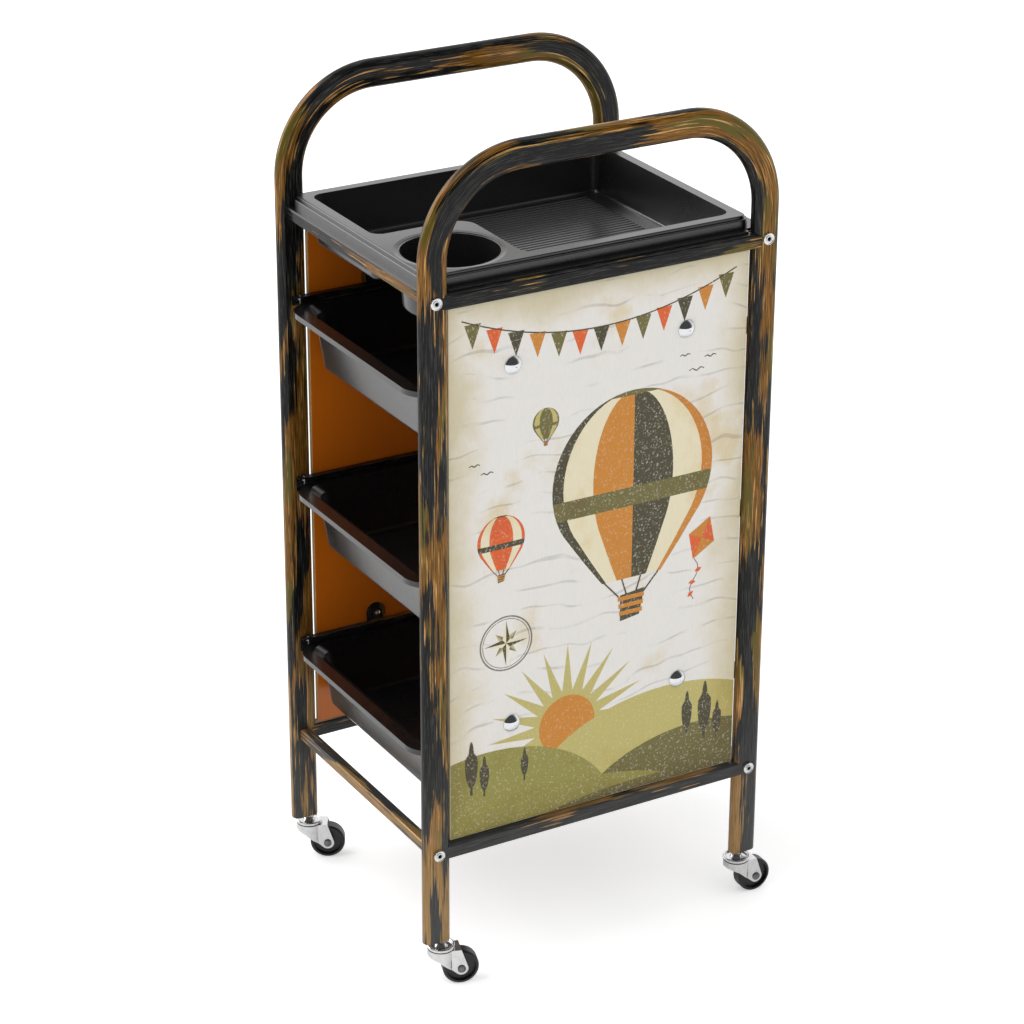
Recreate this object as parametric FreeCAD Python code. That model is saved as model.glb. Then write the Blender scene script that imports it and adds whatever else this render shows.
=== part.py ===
import FreeCAD, Part
import math
import os

os.makedirs("parts", exist_ok=True)

# A narrow utility cart on casters: two bent tube side frames with printed side boards,
# three drawers that hang in channel runners, and a moulded tray with a cup well on top.
# Millimetres. X runs across the cart from frame to frame, Y from the open front (minus)
# to the rear (plus), and Z up. The origin is on the floor, midway between the four posts.

# Side frames
frame_spacing = 300.0
post_spacing = 375.0
cart_height = 895.5
tube_long = 30.0
tube_short = 15.0
tube_wall = 1.5
bend_radius = 95.0
handle_rise = 139.5

# Square bars that cross each side frame
bar_size = 15.0
bar_wall = 1.2
bar_corner = 2.0
bar_height_low = 155.0

# Cross rails between the frames
rail_size = 12.0
rail_wall = 1.2
rail_corner = 1.8
rail_plug = 18.0

# Bolts through the posts into the rails
bolt_diameter = 6.0
bolt_play = 0.2
bolt_thread_play = 0.05
bolt_reach = 13.0
bolt_head_diameter = 12.5
bolt_head_height = 2.4
bolt_head_dish = 0.6
bolt_land = 1.7
bolt_head_round = 0.7
bolt_socket_width = 4.0
bolt_socket_depth = 1.5

# Drawer runners: the three levels as shares of the way from the bottom bars up to the
# tray's seat, and the channel section
upper_level_share = 0.8425
middle_level_share = 0.5075
lower_level_share = 0.1965
runner_depth = 16.0
runner_flange = 8.0
runner_sheet = 1.2
runner_bend = 1.5
runner_length = 382.0

# Stop screws near the front end of each runner
stop_diameter = 3.0
stop_play = 0.1
stop_inset = 8.0
stop_length = 8.0
stop_head_diameter = 6.0
stop_head_height = 2.2
stop_head_round = 1.0
stop_nut_width = 5.5
stop_nut_height = 2.4

# Lugs that carry the side boards
lug_width = 22.0
lug_height = 18.5
lug_sheet = 1.5
lug_foot = 8.0
lug_jog = 4.0
lug_spacing = 198.0

# Side boards and their fastenings
board_thickness = 6.0
board_inset = 7.0
board_side_gap = 2.0
board_end_gap = 2.0
board_corner = 1.5
cap_diameter = 19.5
cap_height = 6.0
cap_edge = 0.9
cap_screw_diameter = 4.0
cap_screw_play = 0.1
cap_nut_width = 7.0
cap_nut_height = 3.0
cap_nut_dome = 2.6
cap_nut_wall = 0.8

# Top tray
tray_play = 1.0
tray_seat_gap = 0.2
tray_rim_height = 15.0
tray_front_proud = 2.5
tray_rear_short = 9.5
tray_corner = 11.0
tray_step_height = 3.2
tray_step_width = 3.0
tray_edge_round = 1.2
tray_wall = 2.2
tray_foot_sheet = 2.0
tray_foot_proud = 1.0
tray_foot_short = 1.5
tray_foot_post_gap = 2.5
tray_foot_corner = 2.0
tray_band = 14.5
tray_depth = 48.0
tray_draft = 5.0
tray_basin_corner = 13.0
tray_floor_round = 3.0
plateau_width = 115.0
plateau_length = 103.0
plateau_corner = 20.0
cup_diameter = 98.0
cup_depth = 57.0
cup_draft = 5.0
cup_from_side = 59.5
cup_from_front = 60.0
cup_bevel_width = 6.0
cup_bevel_depth = 1.0
cup_floor_round = 5.0
rib_count = 35
rib_pitch = 6.3
rib_width = 2.6
rib_height = 0.7
rib_slope = 0.8
rib_gap_front = 13.0
rib_gap_rear = 20.0

# Drawers
drawer_play = 2.0
drawer_rest_gap = 0.3
drawer_front_proud = 13.0
drawer_length = 372.0
drawer_corner = 28.0
drawer_sheet = 2.0
drawer_rim = 5.7
drawer_band_side = 8.5
drawer_band_end = 14.0
drawer_depth = 71.0
drawer_throat_depth = 10.0
drawer_throat_draft = 12.0
drawer_draft_side = 3.5
drawer_draft_end = 11.0
drawer_basin_corner = 18.0
drawer_floor_corner = 12.0
drawer_floor_round = 5.0
drawer_travel = 225.0
drawer_stop_margin = 0.5
drawer_tab_height = 5.8
drawer_tab_width = 2.6
drawer_tab_length = 14.0

# Casters
wheel_diameter = 38.0
wheel_width = 15.0
wheel_web = 9.0
wheel_rim = 3.4
wheel_shoulder = 2.4
wheel_hub_diameter = 13.0
wheel_hub_width = 16.4
axle_diameter = 6.0
axle_play = 0.05
axle_head_diameter = 8.6
axle_head_height = 1.2
axle_head_round = 0.5
caster_trail = 20.0
caster_inset = 5.5
fork_inside = 17.0
fork_sheet = 1.6
fork_rise = 20.7
fork_crown_diameter = 28.0
fork_eye_radius = 7.0
fork_front_round = 1.5
fork_skirt_rear = 6.0
fork_skirt_side = 10.5
fork_skirt_reach = 4.0
fork_skirt_round = 12.0
race_gap = 1.0
race_diameter = 19.0
ball_diameter = 2.4
ball_play = 0.08
ball_count = 6
cup_plate_diameter = 29.2
cup_plate_height = 4.6
cup_plate_sheet = 1.5
cup_ring_height = 3.8
cup_ring_width = 2.6
cup_ring_round = 1.2
cup_hub_foot_diameter = 14.0
cup_hub_top_diameter = 10.0
stem_diameter = 8.0
stem_play = 0.05
stem_head_diameter = 12.4
stem_head_height = 1.3
stem_head_round = 0.5
stem_head_gap = 0.3
stem_bare = 1.8
stem_reach = 20.0
stem_chamfer = 0.8
stem_nut_width = 11.0
stem_nut_height = 3.2
plug_length = 24.0
plug_play = 0.1

# Directions in which the casters trail, in degrees from +X towards +Y
turn_right_front = 72.0
turn_left_front = 62.0
turn_right_rear = 88.0
turn_left_rear = 76.0

# One overrun for every cut that passes through a face, and the size below which points meet
overrun = 1.0
meeting_size = 0.000001

# Levels and places worked out from the sizes above
half_frames = frame_spacing / 2
half_posts = post_spacing / 2
frame_inner = half_frames - tube_short / 2
frame_outer = half_frames + tube_short / 2
post_inner = half_posts - tube_long / 2
hoop_level = cart_height - tube_long / 2
bend_level = hoop_level - bend_radius
tray_seat_level = cart_height - handle_rise
drawer_space = tray_seat_level - bar_height_low
runner_level_upper = bar_height_low + drawer_space * upper_level_share
runner_level_middle = bar_height_low + drawer_space * middle_level_share
runner_level_lower = bar_height_low + drawer_space * lower_level_share
bar_level_top = tray_seat_level - bar_size / 2
rail_level_top = tray_seat_level - rail_size / 2
rail_level_low = bar_height_low
board_outer = frame_outer - board_inset
board_inner = board_outer - board_thickness
lug_screw_rise = lug_height - lug_width / 2
runner_web = frame_inner - runner_sheet
stop_across = frame_inner - runner_sheet - (runner_flange - runner_sheet) / 2
stop_front = -runner_length / 2 + stop_inset
tray_side = frame_inner - tray_play
tray_front = -half_posts - tray_front_proud
tray_rear = half_posts - tray_rear_short
tray_bottom = tray_seat_level + tray_seat_gap
tray_top = tray_seat_level + tray_rim_height
tray_floor = tray_top - tray_depth
drawer_side = runner_web - drawer_play
drawer_front = -half_posts - drawer_front_proud
drawer_rear = drawer_front + drawer_length
axle_level = wheel_diameter / 2
crown_bottom = axle_level + fork_rise
crown_top = crown_bottom + fork_sheet
race_level = crown_top + race_gap / 2
cup_plate_bottom = crown_top + race_gap
cup_plate_top = cup_plate_bottom + cup_plate_height
stem_nut_bottom = cup_plate_top + stem_bare
leg_bottom = stem_nut_bottom + stem_nut_height

Vec = FreeCAD.Vector
ORIGIN = Vec(0, 0, 0)
AXIS_X = Vec(1, 0, 0)
AXIS_Y = Vec(0, 1, 0)
AXIS_Z = Vec(0, 0, 1)


# Shared shapes
def outline(points, radii, base, u, v):
    """Closed wire through points of the plane at base, with each corner rounded by its radius."""
    places = [base + u * a + v * b for a, b in points]
    starts = []
    middles = []
    ends = []
    for i, corner in enumerate(places):
        back = (places[i - 1] - corner).normalize()
        ahead = (places[(i + 1) % len(places)] - corner).normalize()
        half_angle = back.getAngle(ahead) / 2
        cut = radii[i] / math.tan(half_angle)
        inward = (back + ahead).normalize()
        starts.append(corner + back * cut)
        middles.append(corner + inward * (radii[i] / math.sin(half_angle) - radii[i]))
        ends.append(corner + ahead * cut)
    edges = []
    for i, end in enumerate(ends):
        if radii[i] > 0:
            edges.append(Part.Arc(starts[i], middles[i], end).toShape())
        following = starts[(i + 1) % len(places)]
        if end.distanceToPoint(following) > meeting_size:
            edges.append(Part.LineSegment(end, following).toShape())
    return Part.Wire(edges)


def prism(points, radii, base, u, v, run):
    """Solid made by moving a rounded outline along run."""
    return Part.Face(outline(points, radii, base, u, v)).extrude(run)


def turned(points, radii, base, out, up):
    """Solid turned about the line up through base, from a profile in distances out and up."""
    return Part.Face(outline(points, radii, base, out, up)).revolve(base, up, 360)


def rectangle(low_a, high_a, low_b, high_b):
    return [(low_a, low_b), (high_a, low_b), (high_a, high_b), (low_a, high_b)]


def centred_square(size):
    return rectangle(-size / 2, size / 2, -size / 2, size / 2)


def all_corners(points, radius):
    """The same radius for every corner of an outline."""
    return [radius] * len(points)


def hexagon(width):
    """Corners of a hexagon with two flats square to the first direction."""
    reach = width / 2 / math.cos(math.pi / 6)
    angles = [math.pi / 6 + math.pi / 3 * i for i in range(6)]
    return [(reach * math.cos(angle), reach * math.sin(angle)) for angle in angles]


def rod(radius, base, run):
    return Part.makeCylinder(radius, run.Length, base, run)


def both_sides(shape):
    """A shape of the right side and its mirror image on the left."""
    return shape, shape.mirror(ORIGIN, AXIS_X)


def save(shapes, name):
    Part.makeCompound(shapes).exportStep("parts/" + name + ".step")


def save_sides(pair, name):
    save([pair[0]], name + "_right")
    save([pair[1]], name + "_left")


# Side frames
def post_places():
    return (-half_posts, half_posts)


def hoop_solid(wall):
    """The hoop swept round two posts and two bends, drawn in by a wall all round."""
    foot = Vec(half_frames, -half_posts, leg_bottom)
    corner = bend_radius * (1 - math.cos(math.pi / 4))
    path = [
        Part.LineSegment(foot, Vec(half_frames, -half_posts, bend_level)),
        Part.Arc(
            Vec(half_frames, -half_posts, bend_level),
            Vec(half_frames, -half_posts + corner, hoop_level - corner),
            Vec(half_frames, -half_posts + bend_radius, hoop_level),
        ),
        Part.LineSegment(
            Vec(half_frames, -half_posts + bend_radius, hoop_level),
            Vec(half_frames, half_posts - bend_radius, hoop_level),
        ),
        Part.Arc(
            Vec(half_frames, half_posts - bend_radius, hoop_level),
            Vec(half_frames, half_posts - corner, hoop_level - corner),
            Vec(half_frames, half_posts, bend_level),
        ),
        Part.LineSegment(Vec(half_frames, half_posts, bend_level), Vec(half_frames, half_posts, leg_bottom)),
    ]
    across = tube_short / 2 - wall
    along = tube_long / 2 - wall
    points = rectangle(-across, across, -along, along)
    section = outline(points, all_corners(points, across), foot, AXIS_X, AXIS_Y)
    return Part.Wire([edge.toShape() for edge in path]).makePipeShell([section], True, False)


def bolt_places():
    return [Vec(frame_outer, y, z) for y in post_places() for z in (rail_level_top, rail_level_low)]


def hoop():
    tube = hoop_solid(0).cut(hoop_solid(tube_wall))
    for place in bolt_places():
        start = place + AXIS_X * overrun
        tube = tube.cut(rod(bolt_diameter / 2 + bolt_play, start, AXIS_X * -(tube_short + 2 * overrun)))
    return tube.Solids[0]


def cross_bar(level):
    """Square tube between the posts, its ends coped to the posts' rounded edges."""
    start = Vec(half_frames, -half_posts, level)
    run = AXIS_Y * post_spacing
    square = centred_square(bar_size)
    bore_square = centred_square(bar_size - 2 * bar_wall)
    bore_radii = all_corners(bore_square, bar_corner - bar_wall)
    outer = prism(square, all_corners(square, bar_corner), start, AXIS_X, AXIS_Z, run)
    bore = prism(bore_square, bore_radii, start, AXIS_X, AXIS_Z, run)
    return outer.cut(bore).cut(hoop_solid(0)).Solids[0]


def runner(level):
    """Channel that opens towards the drawers, with its web on the posts."""
    flange = -runner_flange
    low = -runner_depth
    points = [
        (0, 0),
        (flange, 0),
        (flange, -runner_sheet),
        (-runner_sheet, -runner_sheet),
        (-runner_sheet, low + runner_sheet),
        (flange, low + runner_sheet),
        (flange, low),
        (0, low),
    ]
    inside = runner_bend - runner_sheet
    radii = [runner_bend, 0, 0, inside, inside, 0, 0, runner_bend]
    start = Vec(frame_inner, -runner_length / 2, level)
    channel = prism(points, radii, start, AXIS_X, AXIS_Z, AXIS_Y * runner_length)
    hole_start = stop_place(level) + AXIS_Z * overrun
    hole = rod(stop_diameter / 2 + stop_play, hole_start, AXIS_Z * -(runner_depth / 2))
    return channel.cut(hole).Solids[0]


def stop_place(level):
    return Vec(stop_across, stop_front, level)


def stop_screw(level):
    top = stop_place(level)
    radius = stop_diameter / 2
    head = stop_head_diameter / 2
    points = [(0, -stop_length), (radius, -stop_length), (radius, 0), (head, 0), (head, stop_head_height)]
    points.append((0, stop_head_height))
    return turned(points, [0, 0, 0, 0, stop_head_round, 0], top, AXIS_X, AXIS_Z)


def stop_nut(level):
    top = stop_place(level) - AXIS_Z * runner_sheet
    down = AXIS_Z * -stop_nut_height
    flats = hexagon(stop_nut_width)
    nut = prism(flats, all_corners(flats, 0), top, AXIS_X, AXIS_Y, down)
    return nut.cut(rod(stop_diameter / 2, top + AXIS_Z * overrun, down - AXIS_Z * 2 * overrun)).Solids[0]


# Side boards and what holds them
def lug_levels():
    return (runner_level_upper, runner_level_lower)


def lug_places():
    return [Vec(0, y, level) for y in (-lug_spacing / 2, lug_spacing / 2) for level in lug_levels()]


def lug(place):
    """Strip bent outwards from the back of a runner to the board, with a round top."""
    inner = board_inner - lug_sheet
    profile = [
        (frame_inner, -lug_foot),
        (frame_inner + lug_sheet, -lug_foot),
        (frame_inner + lug_sheet, 0),
        (board_inner, lug_jog),
        (board_inner, lug_height),
        (inner, lug_height),
        (inner, lug_jog),
        (frame_inner, 0),
    ]
    start = place - AXIS_Y * lug_width / 2
    strip = prism(profile, all_corners(profile, 0), start, AXIS_X, AXIS_Z, AXIS_Y * lug_width)
    face = rectangle(-lug_width / 2, lug_width / 2, -lug_foot, lug_height)
    radii = [0, 0, lug_width / 2, lug_width / 2]
    rounded = prism(face, radii, place, AXIS_Y, AXIS_Z, AXIS_X * frame_outer)
    hole_start = place + AXIS_Z * lug_screw_rise
    hole = rod(cap_screw_diameter / 2 + cap_screw_play, hole_start, AXIS_X * frame_outer)
    return strip.common(rounded).cut(hole).Solids[0]


def board():
    half = post_inner - board_side_gap
    low = bar_height_low + bar_size / 2 + board_end_gap
    high = bar_level_top - bar_size / 2 - board_end_gap
    start = AXIS_X * board_inner
    face = rectangle(-half, half, low, high)
    radii = all_corners(face, board_corner)
    panel = prism(face, radii, start, AXIS_Y, AXIS_Z, AXIS_X * board_thickness)
    for place in lug_places():
        centre = place + AXIS_Z * lug_screw_rise + AXIS_X * (board_inner - overrun)
        panel = panel.cut(rod(cap_screw_diameter / 2 + cap_screw_play, centre, AXIS_X * frame_outer))
    return panel.Solids[0]


def cap_screw(place):
    """Domed cap on the board's face with its screw reaching into the nut."""
    base = place + AXIS_Z * lug_screw_rise + AXIS_X * board_outer
    radius = cap_diameter / 2
    dome = cap_height - cap_edge
    sphere = (radius * radius + dome * dome) / (2 * dome)
    slant = math.asin(radius / sphere) / 2
    middle = sphere * math.sin(slant)
    rise = cap_height - sphere * (1 - math.cos(slant))
    edges = [
        Part.LineSegment(base, base + AXIS_Y * radius),
        Part.LineSegment(base + AXIS_Y * radius, base + AXIS_Y * radius + AXIS_X * cap_edge),
        Part.Arc(
            base + AXIS_Y * radius + AXIS_X * cap_edge,
            base + AXIS_Y * middle + AXIS_X * rise,
            base + AXIS_X * cap_height,
        ),
        Part.LineSegment(base + AXIS_X * cap_height, base),
    ]
    cap = Part.Face(Part.Wire([edge.toShape() for edge in edges])).revolve(base, AXIS_X, 360)
    reach = board_thickness + lug_sheet + cap_nut_height
    shank = rod(cap_screw_diameter / 2, base, AXIS_X * -reach)
    return cap.fuse(shank).Solids[0]


def cap_nut(place):
    """Acorn nut on the inner face of a lug."""
    base = place + AXIS_Z * lug_screw_rise + AXIS_X * (board_inner - lug_sheet)
    inward = AXIS_X * -1
    flats = hexagon(cap_nut_width)
    nut = prism(flats, all_corners(flats, 0), base, AXIS_Z, AXIS_Y, inward * cap_nut_height)
    radius = cap_nut_width / 2 - cap_nut_wall / 2
    profile = rectangle(0, radius, 0, cap_nut_height + cap_nut_dome)
    dome = turned(profile, [0, 0, cap_nut_dome, 0], base, AXIS_Y, inward)
    bore = rod(cap_screw_diameter / 2, base, inward * cap_nut_height)
    return nut.fuse(dome).cut(bore).Solids[0]


# Cross rails and their bolts
def cross_rail(y, level):
    """Square tube between the frames, with a threaded plug in each end."""
    start = Vec(-frame_inner, y, level)
    length = 2 * frame_inner
    square = centred_square(rail_size)
    outer = prism(square, all_corners(square, rail_corner), start, AXIS_Y, AXIS_Z, AXIS_X * length)
    bore_square = centred_square(rail_size - 2 * rail_wall)
    bore_radii = all_corners(bore_square, rail_corner - rail_wall)
    bore_start = start + AXIS_X * rail_plug
    bore_run = AXIS_X * (length - 2 * rail_plug)
    bore = prism(bore_square, bore_radii, bore_start, AXIS_Y, AXIS_Z, bore_run)
    thread_start = start - AXIS_X * overrun
    thread_run = AXIS_X * (length + 2 * overrun)
    thread = rod(bolt_diameter / 2 + bolt_thread_play, thread_start, thread_run)
    return outer.cut(bore).cut(thread).Solids[0]


def frame_bolt(place):
    """Bolt with a low round head, a raised land round its socket, and a plain shank."""
    shank = bolt_diameter / 2
    head = bolt_head_diameter / 2
    land = bolt_socket_width / 2 + bolt_land
    dish = bolt_head_height - bolt_head_dish
    reach = tube_short + bolt_reach
    points = [
        (0, -reach),
        (shank, -reach),
        (shank, 0),
        (head, 0),
        (head, bolt_head_height),
        (head - bolt_land / 2, bolt_head_height),
        (head - bolt_land / 2, dish),
        (land, dish),
        (land, bolt_head_height),
        (0, bolt_head_height),
    ]
    bolt = turned(points, [0, 0, 0, 0, bolt_head_round, 0, 0, 0, 0, 0], place, AXIS_Y, AXIS_X)
    socket_base = place + AXIS_X * (bolt_head_height - bolt_socket_depth)
    flats = hexagon(bolt_socket_width)
    socket = prism(flats, all_corners(flats, 0), socket_base, AXIS_Y, AXIS_Z, AXIS_X * bolt_head_height)
    return bolt.cut(socket).Solids[0]


# Top tray
def tray_plan(inset):
    return rectangle(-tray_side + inset, tray_side - inset, tray_front + inset, tray_rear - inset)


def tray_block(inset, low, high):
    plan = tray_plan(inset)
    radii = all_corners(plan, tray_corner - inset)
    return prism(plan, radii, AXIS_Z * low, AXIS_X, AXIS_Y, AXIS_Z * (high - low))


def basin_section(drawn, level):
    """Outline of the basin round the plateau, drawn in from its size at the rim."""
    side = tray_side - tray_band - drawn
    front = tray_front + tray_band + drawn
    rear = tray_rear - tray_band - drawn
    plateau_left = tray_side - tray_band - plateau_width - drawn
    plateau_rear = tray_front + tray_band + plateau_length + drawn
    points = [
        (-side, front),
        (plateau_left, front),
        (plateau_left, plateau_rear),
        (side, plateau_rear),
        (side, rear),
        (-side, rear),
    ]
    inside = tray_basin_corner - drawn
    radii = [inside, inside, plateau_corner + drawn, inside, inside, inside]
    return outline(points, radii, AXIS_Z * level, AXIS_X, AXIS_Y)


def level_edges(shape, level):
    """Edges of a shape that lie flat at one level."""
    flat = []
    for edge in shape.Edges:
        heights = [vertex.Z for vertex in edge.Vertexes] + [edge.CenterOfMass.z]
        if all(abs(height - level) < meeting_size for height in heights):
            flat.append(edge)
    return flat


def basin_block(wall, high):
    """The basin's hollow with a wall added round it, rounded where sides meet floor."""
    low = tray_floor - wall
    slope = tray_draft / (tray_top - tray_floor)
    at_low = tray_draft + slope * wall - wall
    at_high = -slope * (high - tray_top) - wall
    block = Part.makeLoft([basin_section(at_low, low), basin_section(at_high, high)], True, True)
    return block.makeFillet(tray_floor_round + wall, level_edges(block, low))


def cup_profile(wall, high, bevel):
    """Half section of the cup well with a wall added round it."""
    radius = cup_diameter / 2 + wall
    low = -cup_depth - wall
    foot = radius - cup_draft
    points = [(0, low), (foot, low), (radius, -bevel)]
    radii = [0, cup_floor_round + wall, 0]
    if bevel > 0:
        points.append((radius + cup_bevel_width, 0))
        radii.append(0)
    points += [(points[-1][0], high), (0, high)]
    return points, radii + [0, 0]


def cup_block(wall, high, bevel):
    centre = Vec(tray_side - cup_from_side, tray_front + cup_from_front, tray_top)
    points, radii = cup_profile(wall, high, bevel)
    return turned(points, radii, centre, AXIS_X, AXIS_Z)


def tray_foot():
    """Flat flange that rests on the bars and rails and is notched round the posts."""
    side = half_frames
    notch = post_inner - tray_foot_post_gap
    front = -half_posts - rail_size / 2 - tray_foot_proud
    rear = half_posts + rail_size / 2 - tray_foot_short
    points = [
        (-tray_side, front),
        (tray_side, front),
        (tray_side, -notch),
        (side, -notch),
        (side, notch),
        (tray_side, notch),
        (tray_side, rear),
        (-tray_side, rear),
        (-tray_side, notch),
        (-side, notch),
        (-side, -notch),
        (-tray_side, -notch),
    ]
    corner = tray_foot_corner
    radii = [corner, corner, 0, corner, corner, 0, corner, corner, 0, corner, corner, 0]
    return prism(points, radii, AXIS_Z * tray_bottom, AXIS_X, AXIS_Y, AXIS_Z * tray_foot_sheet)


def tray_ribs():
    """Low ribs that run front to rear across the basin's floor, with sloped flanks."""
    start = tray_front + tray_band + plateau_length + rib_gap_front
    length = tray_rear - tray_band - tray_draft - rib_gap_rear - start
    crest = rib_width / 2 - rib_slope
    points = [
        (-rib_width / 2, -tray_wall / 2),
        (rib_width / 2, -tray_wall / 2),
        (rib_width / 2, 0),
        (crest, rib_height),
        (-crest, rib_height),
        (-rib_width / 2, 0),
    ]
    ribs = []
    for i in range(rib_count):
        across = rib_pitch * (i - (rib_count - 1) / 2)
        base = Vec(across, start, tray_floor)
        ribs.append(prism(points, all_corners(points, 0), base, AXIS_X, AXIS_Z, AXIS_Y * length))
    return ribs


def top_tray():
    shoulder = tray_top - tray_step_height
    skirt = tray_block(0, tray_bottom, shoulder)
    crown = tray_block(tray_step_width, tray_bottom, tray_top)
    rim = skirt.makeFillet(tray_edge_round, level_edges(skirt, shoulder))
    rim = rim.fuse(crown.makeFillet(tray_edge_round, level_edges(crown, tray_top)))
    hollow = tray_block(tray_wall, tray_bottom - overrun, shoulder - tray_wall)
    crown_inset = tray_step_width + tray_wall
    hollow = hollow.fuse(tray_block(crown_inset, tray_bottom - overrun, tray_top - tray_wall))
    foot_hole = tray_block(tray_wall, tray_bottom - overrun, tray_bottom + tray_foot_sheet + overrun)
    shell = rim.cut(hollow).fuse(tray_foot().cut(foot_hole))
    inside_top = tray_top - tray_wall / 2
    shell = shell.fuse([basin_block(tray_wall, inside_top), cup_block(tray_wall, -tray_wall / 2, 0)])
    shell = shell.cut([basin_block(0, tray_top + overrun), cup_block(0, overrun, cup_bevel_depth)])
    return shell.fuse(tray_ribs()).removeSplitter().Solids[0]


# Drawers
def drawer_level(runner_level):
    """Level of a drawer flange's top face."""
    return runner_level - runner_depth + runner_sheet + drawer_rest_gap + drawer_rim


def drawer_plate(inset, base, height):
    points = rectangle(-drawer_side + inset, drawer_side - inset, drawer_front + inset, drawer_rear - inset)
    radii = all_corners(points, drawer_corner - inset)
    return prism(points, radii, AXIS_Z * base, AXIS_X, AXIS_Y, AXIS_Z * height)


def drawer_section(wall, level, drawn_side, drawn_end, share):
    """Outline of the pan at one level, drawn in from its size at the rim on sides and ends."""
    inset_side = drawer_band_side + drawn_side - wall
    inset_end = drawer_band_end + drawn_end - wall
    corner = drawer_basin_corner + (drawer_floor_corner - drawer_basin_corner) * share
    points = rectangle(
        -drawer_side + inset_side,
        drawer_side - inset_side,
        drawer_front + inset_end,
        drawer_rear - inset_end,
    )
    radii = all_corners(points, corner - drawer_sheet + wall)
    return outline(points, radii, AXIS_Z * level, AXIS_X, AXIS_Y)


def pan_block(wall, top, above):
    """The pan's hollow with a wall added round it: a throat that slopes in under the rim at
    both ends, and below it steeper walls down to the floor."""
    inside_depth = drawer_depth - drawer_sheet
    low = top - inside_depth - wall
    throat = top - drawer_throat_depth - wall / 2
    share = (throat - low) / (inside_depth - drawer_throat_depth)
    flare = drawer_throat_draft * above / drawer_throat_depth
    end_low = drawer_throat_draft + drawer_draft_end * share
    sections = [
        drawer_section(wall, low, drawer_draft_side * share, end_low, 1),
        drawer_section(wall, throat, 0, drawer_throat_draft, 0),
        drawer_section(wall, top + above, 0, -flare, 0),
    ]
    block = Part.makeLoft(sections, True, True)
    return block.makeFillet(drawer_floor_round + wall, level_edges(block, low))


def drawer_tab(side, top):
    """Upright tab on the flange that meets the stop screw when the drawer is fully out."""
    start = stop_front + stop_diameter / 2 + drawer_travel + drawer_stop_margin
    inner = side * (drawer_side - drawer_tab_width)
    points = rectangle(min(inner, side * drawer_side), max(inner, side * drawer_side), 0, drawer_tab_height)
    base = Vec(0, start, top - drawer_sheet / 2)
    return prism(points, all_corners(points, 0), base, AXIS_X, AXIS_Z, AXIS_Y * drawer_tab_length)


def drawer(runner_level):
    top = drawer_level(runner_level)
    flange = drawer_plate(0, top - drawer_sheet, drawer_sheet)
    rim = drawer_plate(0, top - drawer_rim, drawer_rim)
    rim = rim.cut(drawer_plate(drawer_sheet, top - drawer_rim - overrun, drawer_rim + 2 * overrun))
    pan = pan_block(drawer_sheet, top, -drawer_sheet / 2)
    body = flange.fuse([rim, pan, drawer_tab(1, top), drawer_tab(-1, top)])
    return body.cut(pan_block(0, top, overrun)).removeSplitter().Solids[0]


# Casters: each is built with its swivel axis on Z and its wheel trailing along +X
def wheel():
    radius = wheel_diameter / 2
    bore = axle_diameter / 2 + axle_play
    hub = wheel_hub_diameter / 2
    rim = radius - wheel_rim
    half_tread = wheel_width / 2
    half_web = wheel_web / 2
    half_hub = wheel_hub_width / 2
    half = [(bore, half_hub), (hub, half_hub), (hub, half_web), (rim, half_web), (rim, half_tread)]
    half.append((radius, half_tread))
    points = half + [(out, -along) for out, along in reversed(half)]
    radii = [0, 0, 0, 0, 0, wheel_shoulder]
    centre = Vec(caster_trail, 0, axle_level)
    return turned(points, radii + radii[::-1], centre, AXIS_Z, AXIS_Y)


def axle():
    """Rivet through both cheeks of the fork, with a low head on each side."""
    outside = fork_inside / 2 + fork_sheet
    end = outside + axle_head_height
    radius = axle_diameter / 2
    head = axle_head_diameter / 2
    points = [(0, -end), (head, -end), (head, -outside), (radius, -outside)]
    points += [(radius, outside), (head, outside), (head, end), (0, end)]
    radii = [0, axle_head_round, 0, 0, 0, 0, axle_head_round, 0]
    return turned(points, radii, Vec(caster_trail, 0, axle_level), AXIS_Z, AXIS_Y)


def tangent_place(point, turn):
    """Point on the fork's eye where a line from an outside point touches it."""
    away = Vec(point[0] - caster_trail, 0, point[1] - axle_level)
    reach = math.acos(fork_eye_radius / away.Length)
    angle = math.atan2(away.z, away.x) + turn * reach
    outwards = Vec(math.cos(angle), 0, math.sin(angle))
    return Vec(caster_trail, 0, axle_level) + outwards * fork_eye_radius


def fork_side():
    """Side view of the fork: a shallow skirt behind, cheeks that taper to a round eye."""
    crown = fork_crown_diameter / 2
    knee = (-fork_skirt_reach, crown_top - fork_skirt_side)
    front = tangent_place((caster_trail, crown_top), -1)
    below = tangent_place(knee, 1)
    eye_low = Vec(caster_trail, 0, axle_level - fork_eye_radius)
    back = Vec(-crown - overrun, 0, crown_top - fork_skirt_rear)
    back_top = Vec(-crown - overrun, 0, crown_top)
    front_top = Vec(caster_trail, 0, crown_top)
    knee_place = Vec(knee[0], 0, knee[1])
    edges = [
        Part.LineSegment(front_top, front),
        Part.Arc(front, eye_low, below),
        Part.LineSegment(below, knee_place),
        Part.LineSegment(knee_place, back),
        Part.LineSegment(back, back_top),
        Part.LineSegment(back_top, front_top),
    ]
    return Part.Wire([edge.toShape() for edge in edges])


def fork_plan(inset, low, high):
    """Round crown that runs into two flat cheeks, seen from above, drawn in by a sheet."""
    half_width = fork_inside / 2 + fork_sheet - inset
    front = caster_trail + fork_eye_radius + overrun + inset
    base = AXIS_Z * low
    run = AXIS_Z * (high - low)
    plan = rectangle(0, front, -half_width, half_width)
    arms = prism(plan, all_corners(plan, 0), base, AXIS_X, AXIS_Y, run)
    return rod(fork_crown_diameter / 2 - inset, base, run).fuse(arms)


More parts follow.
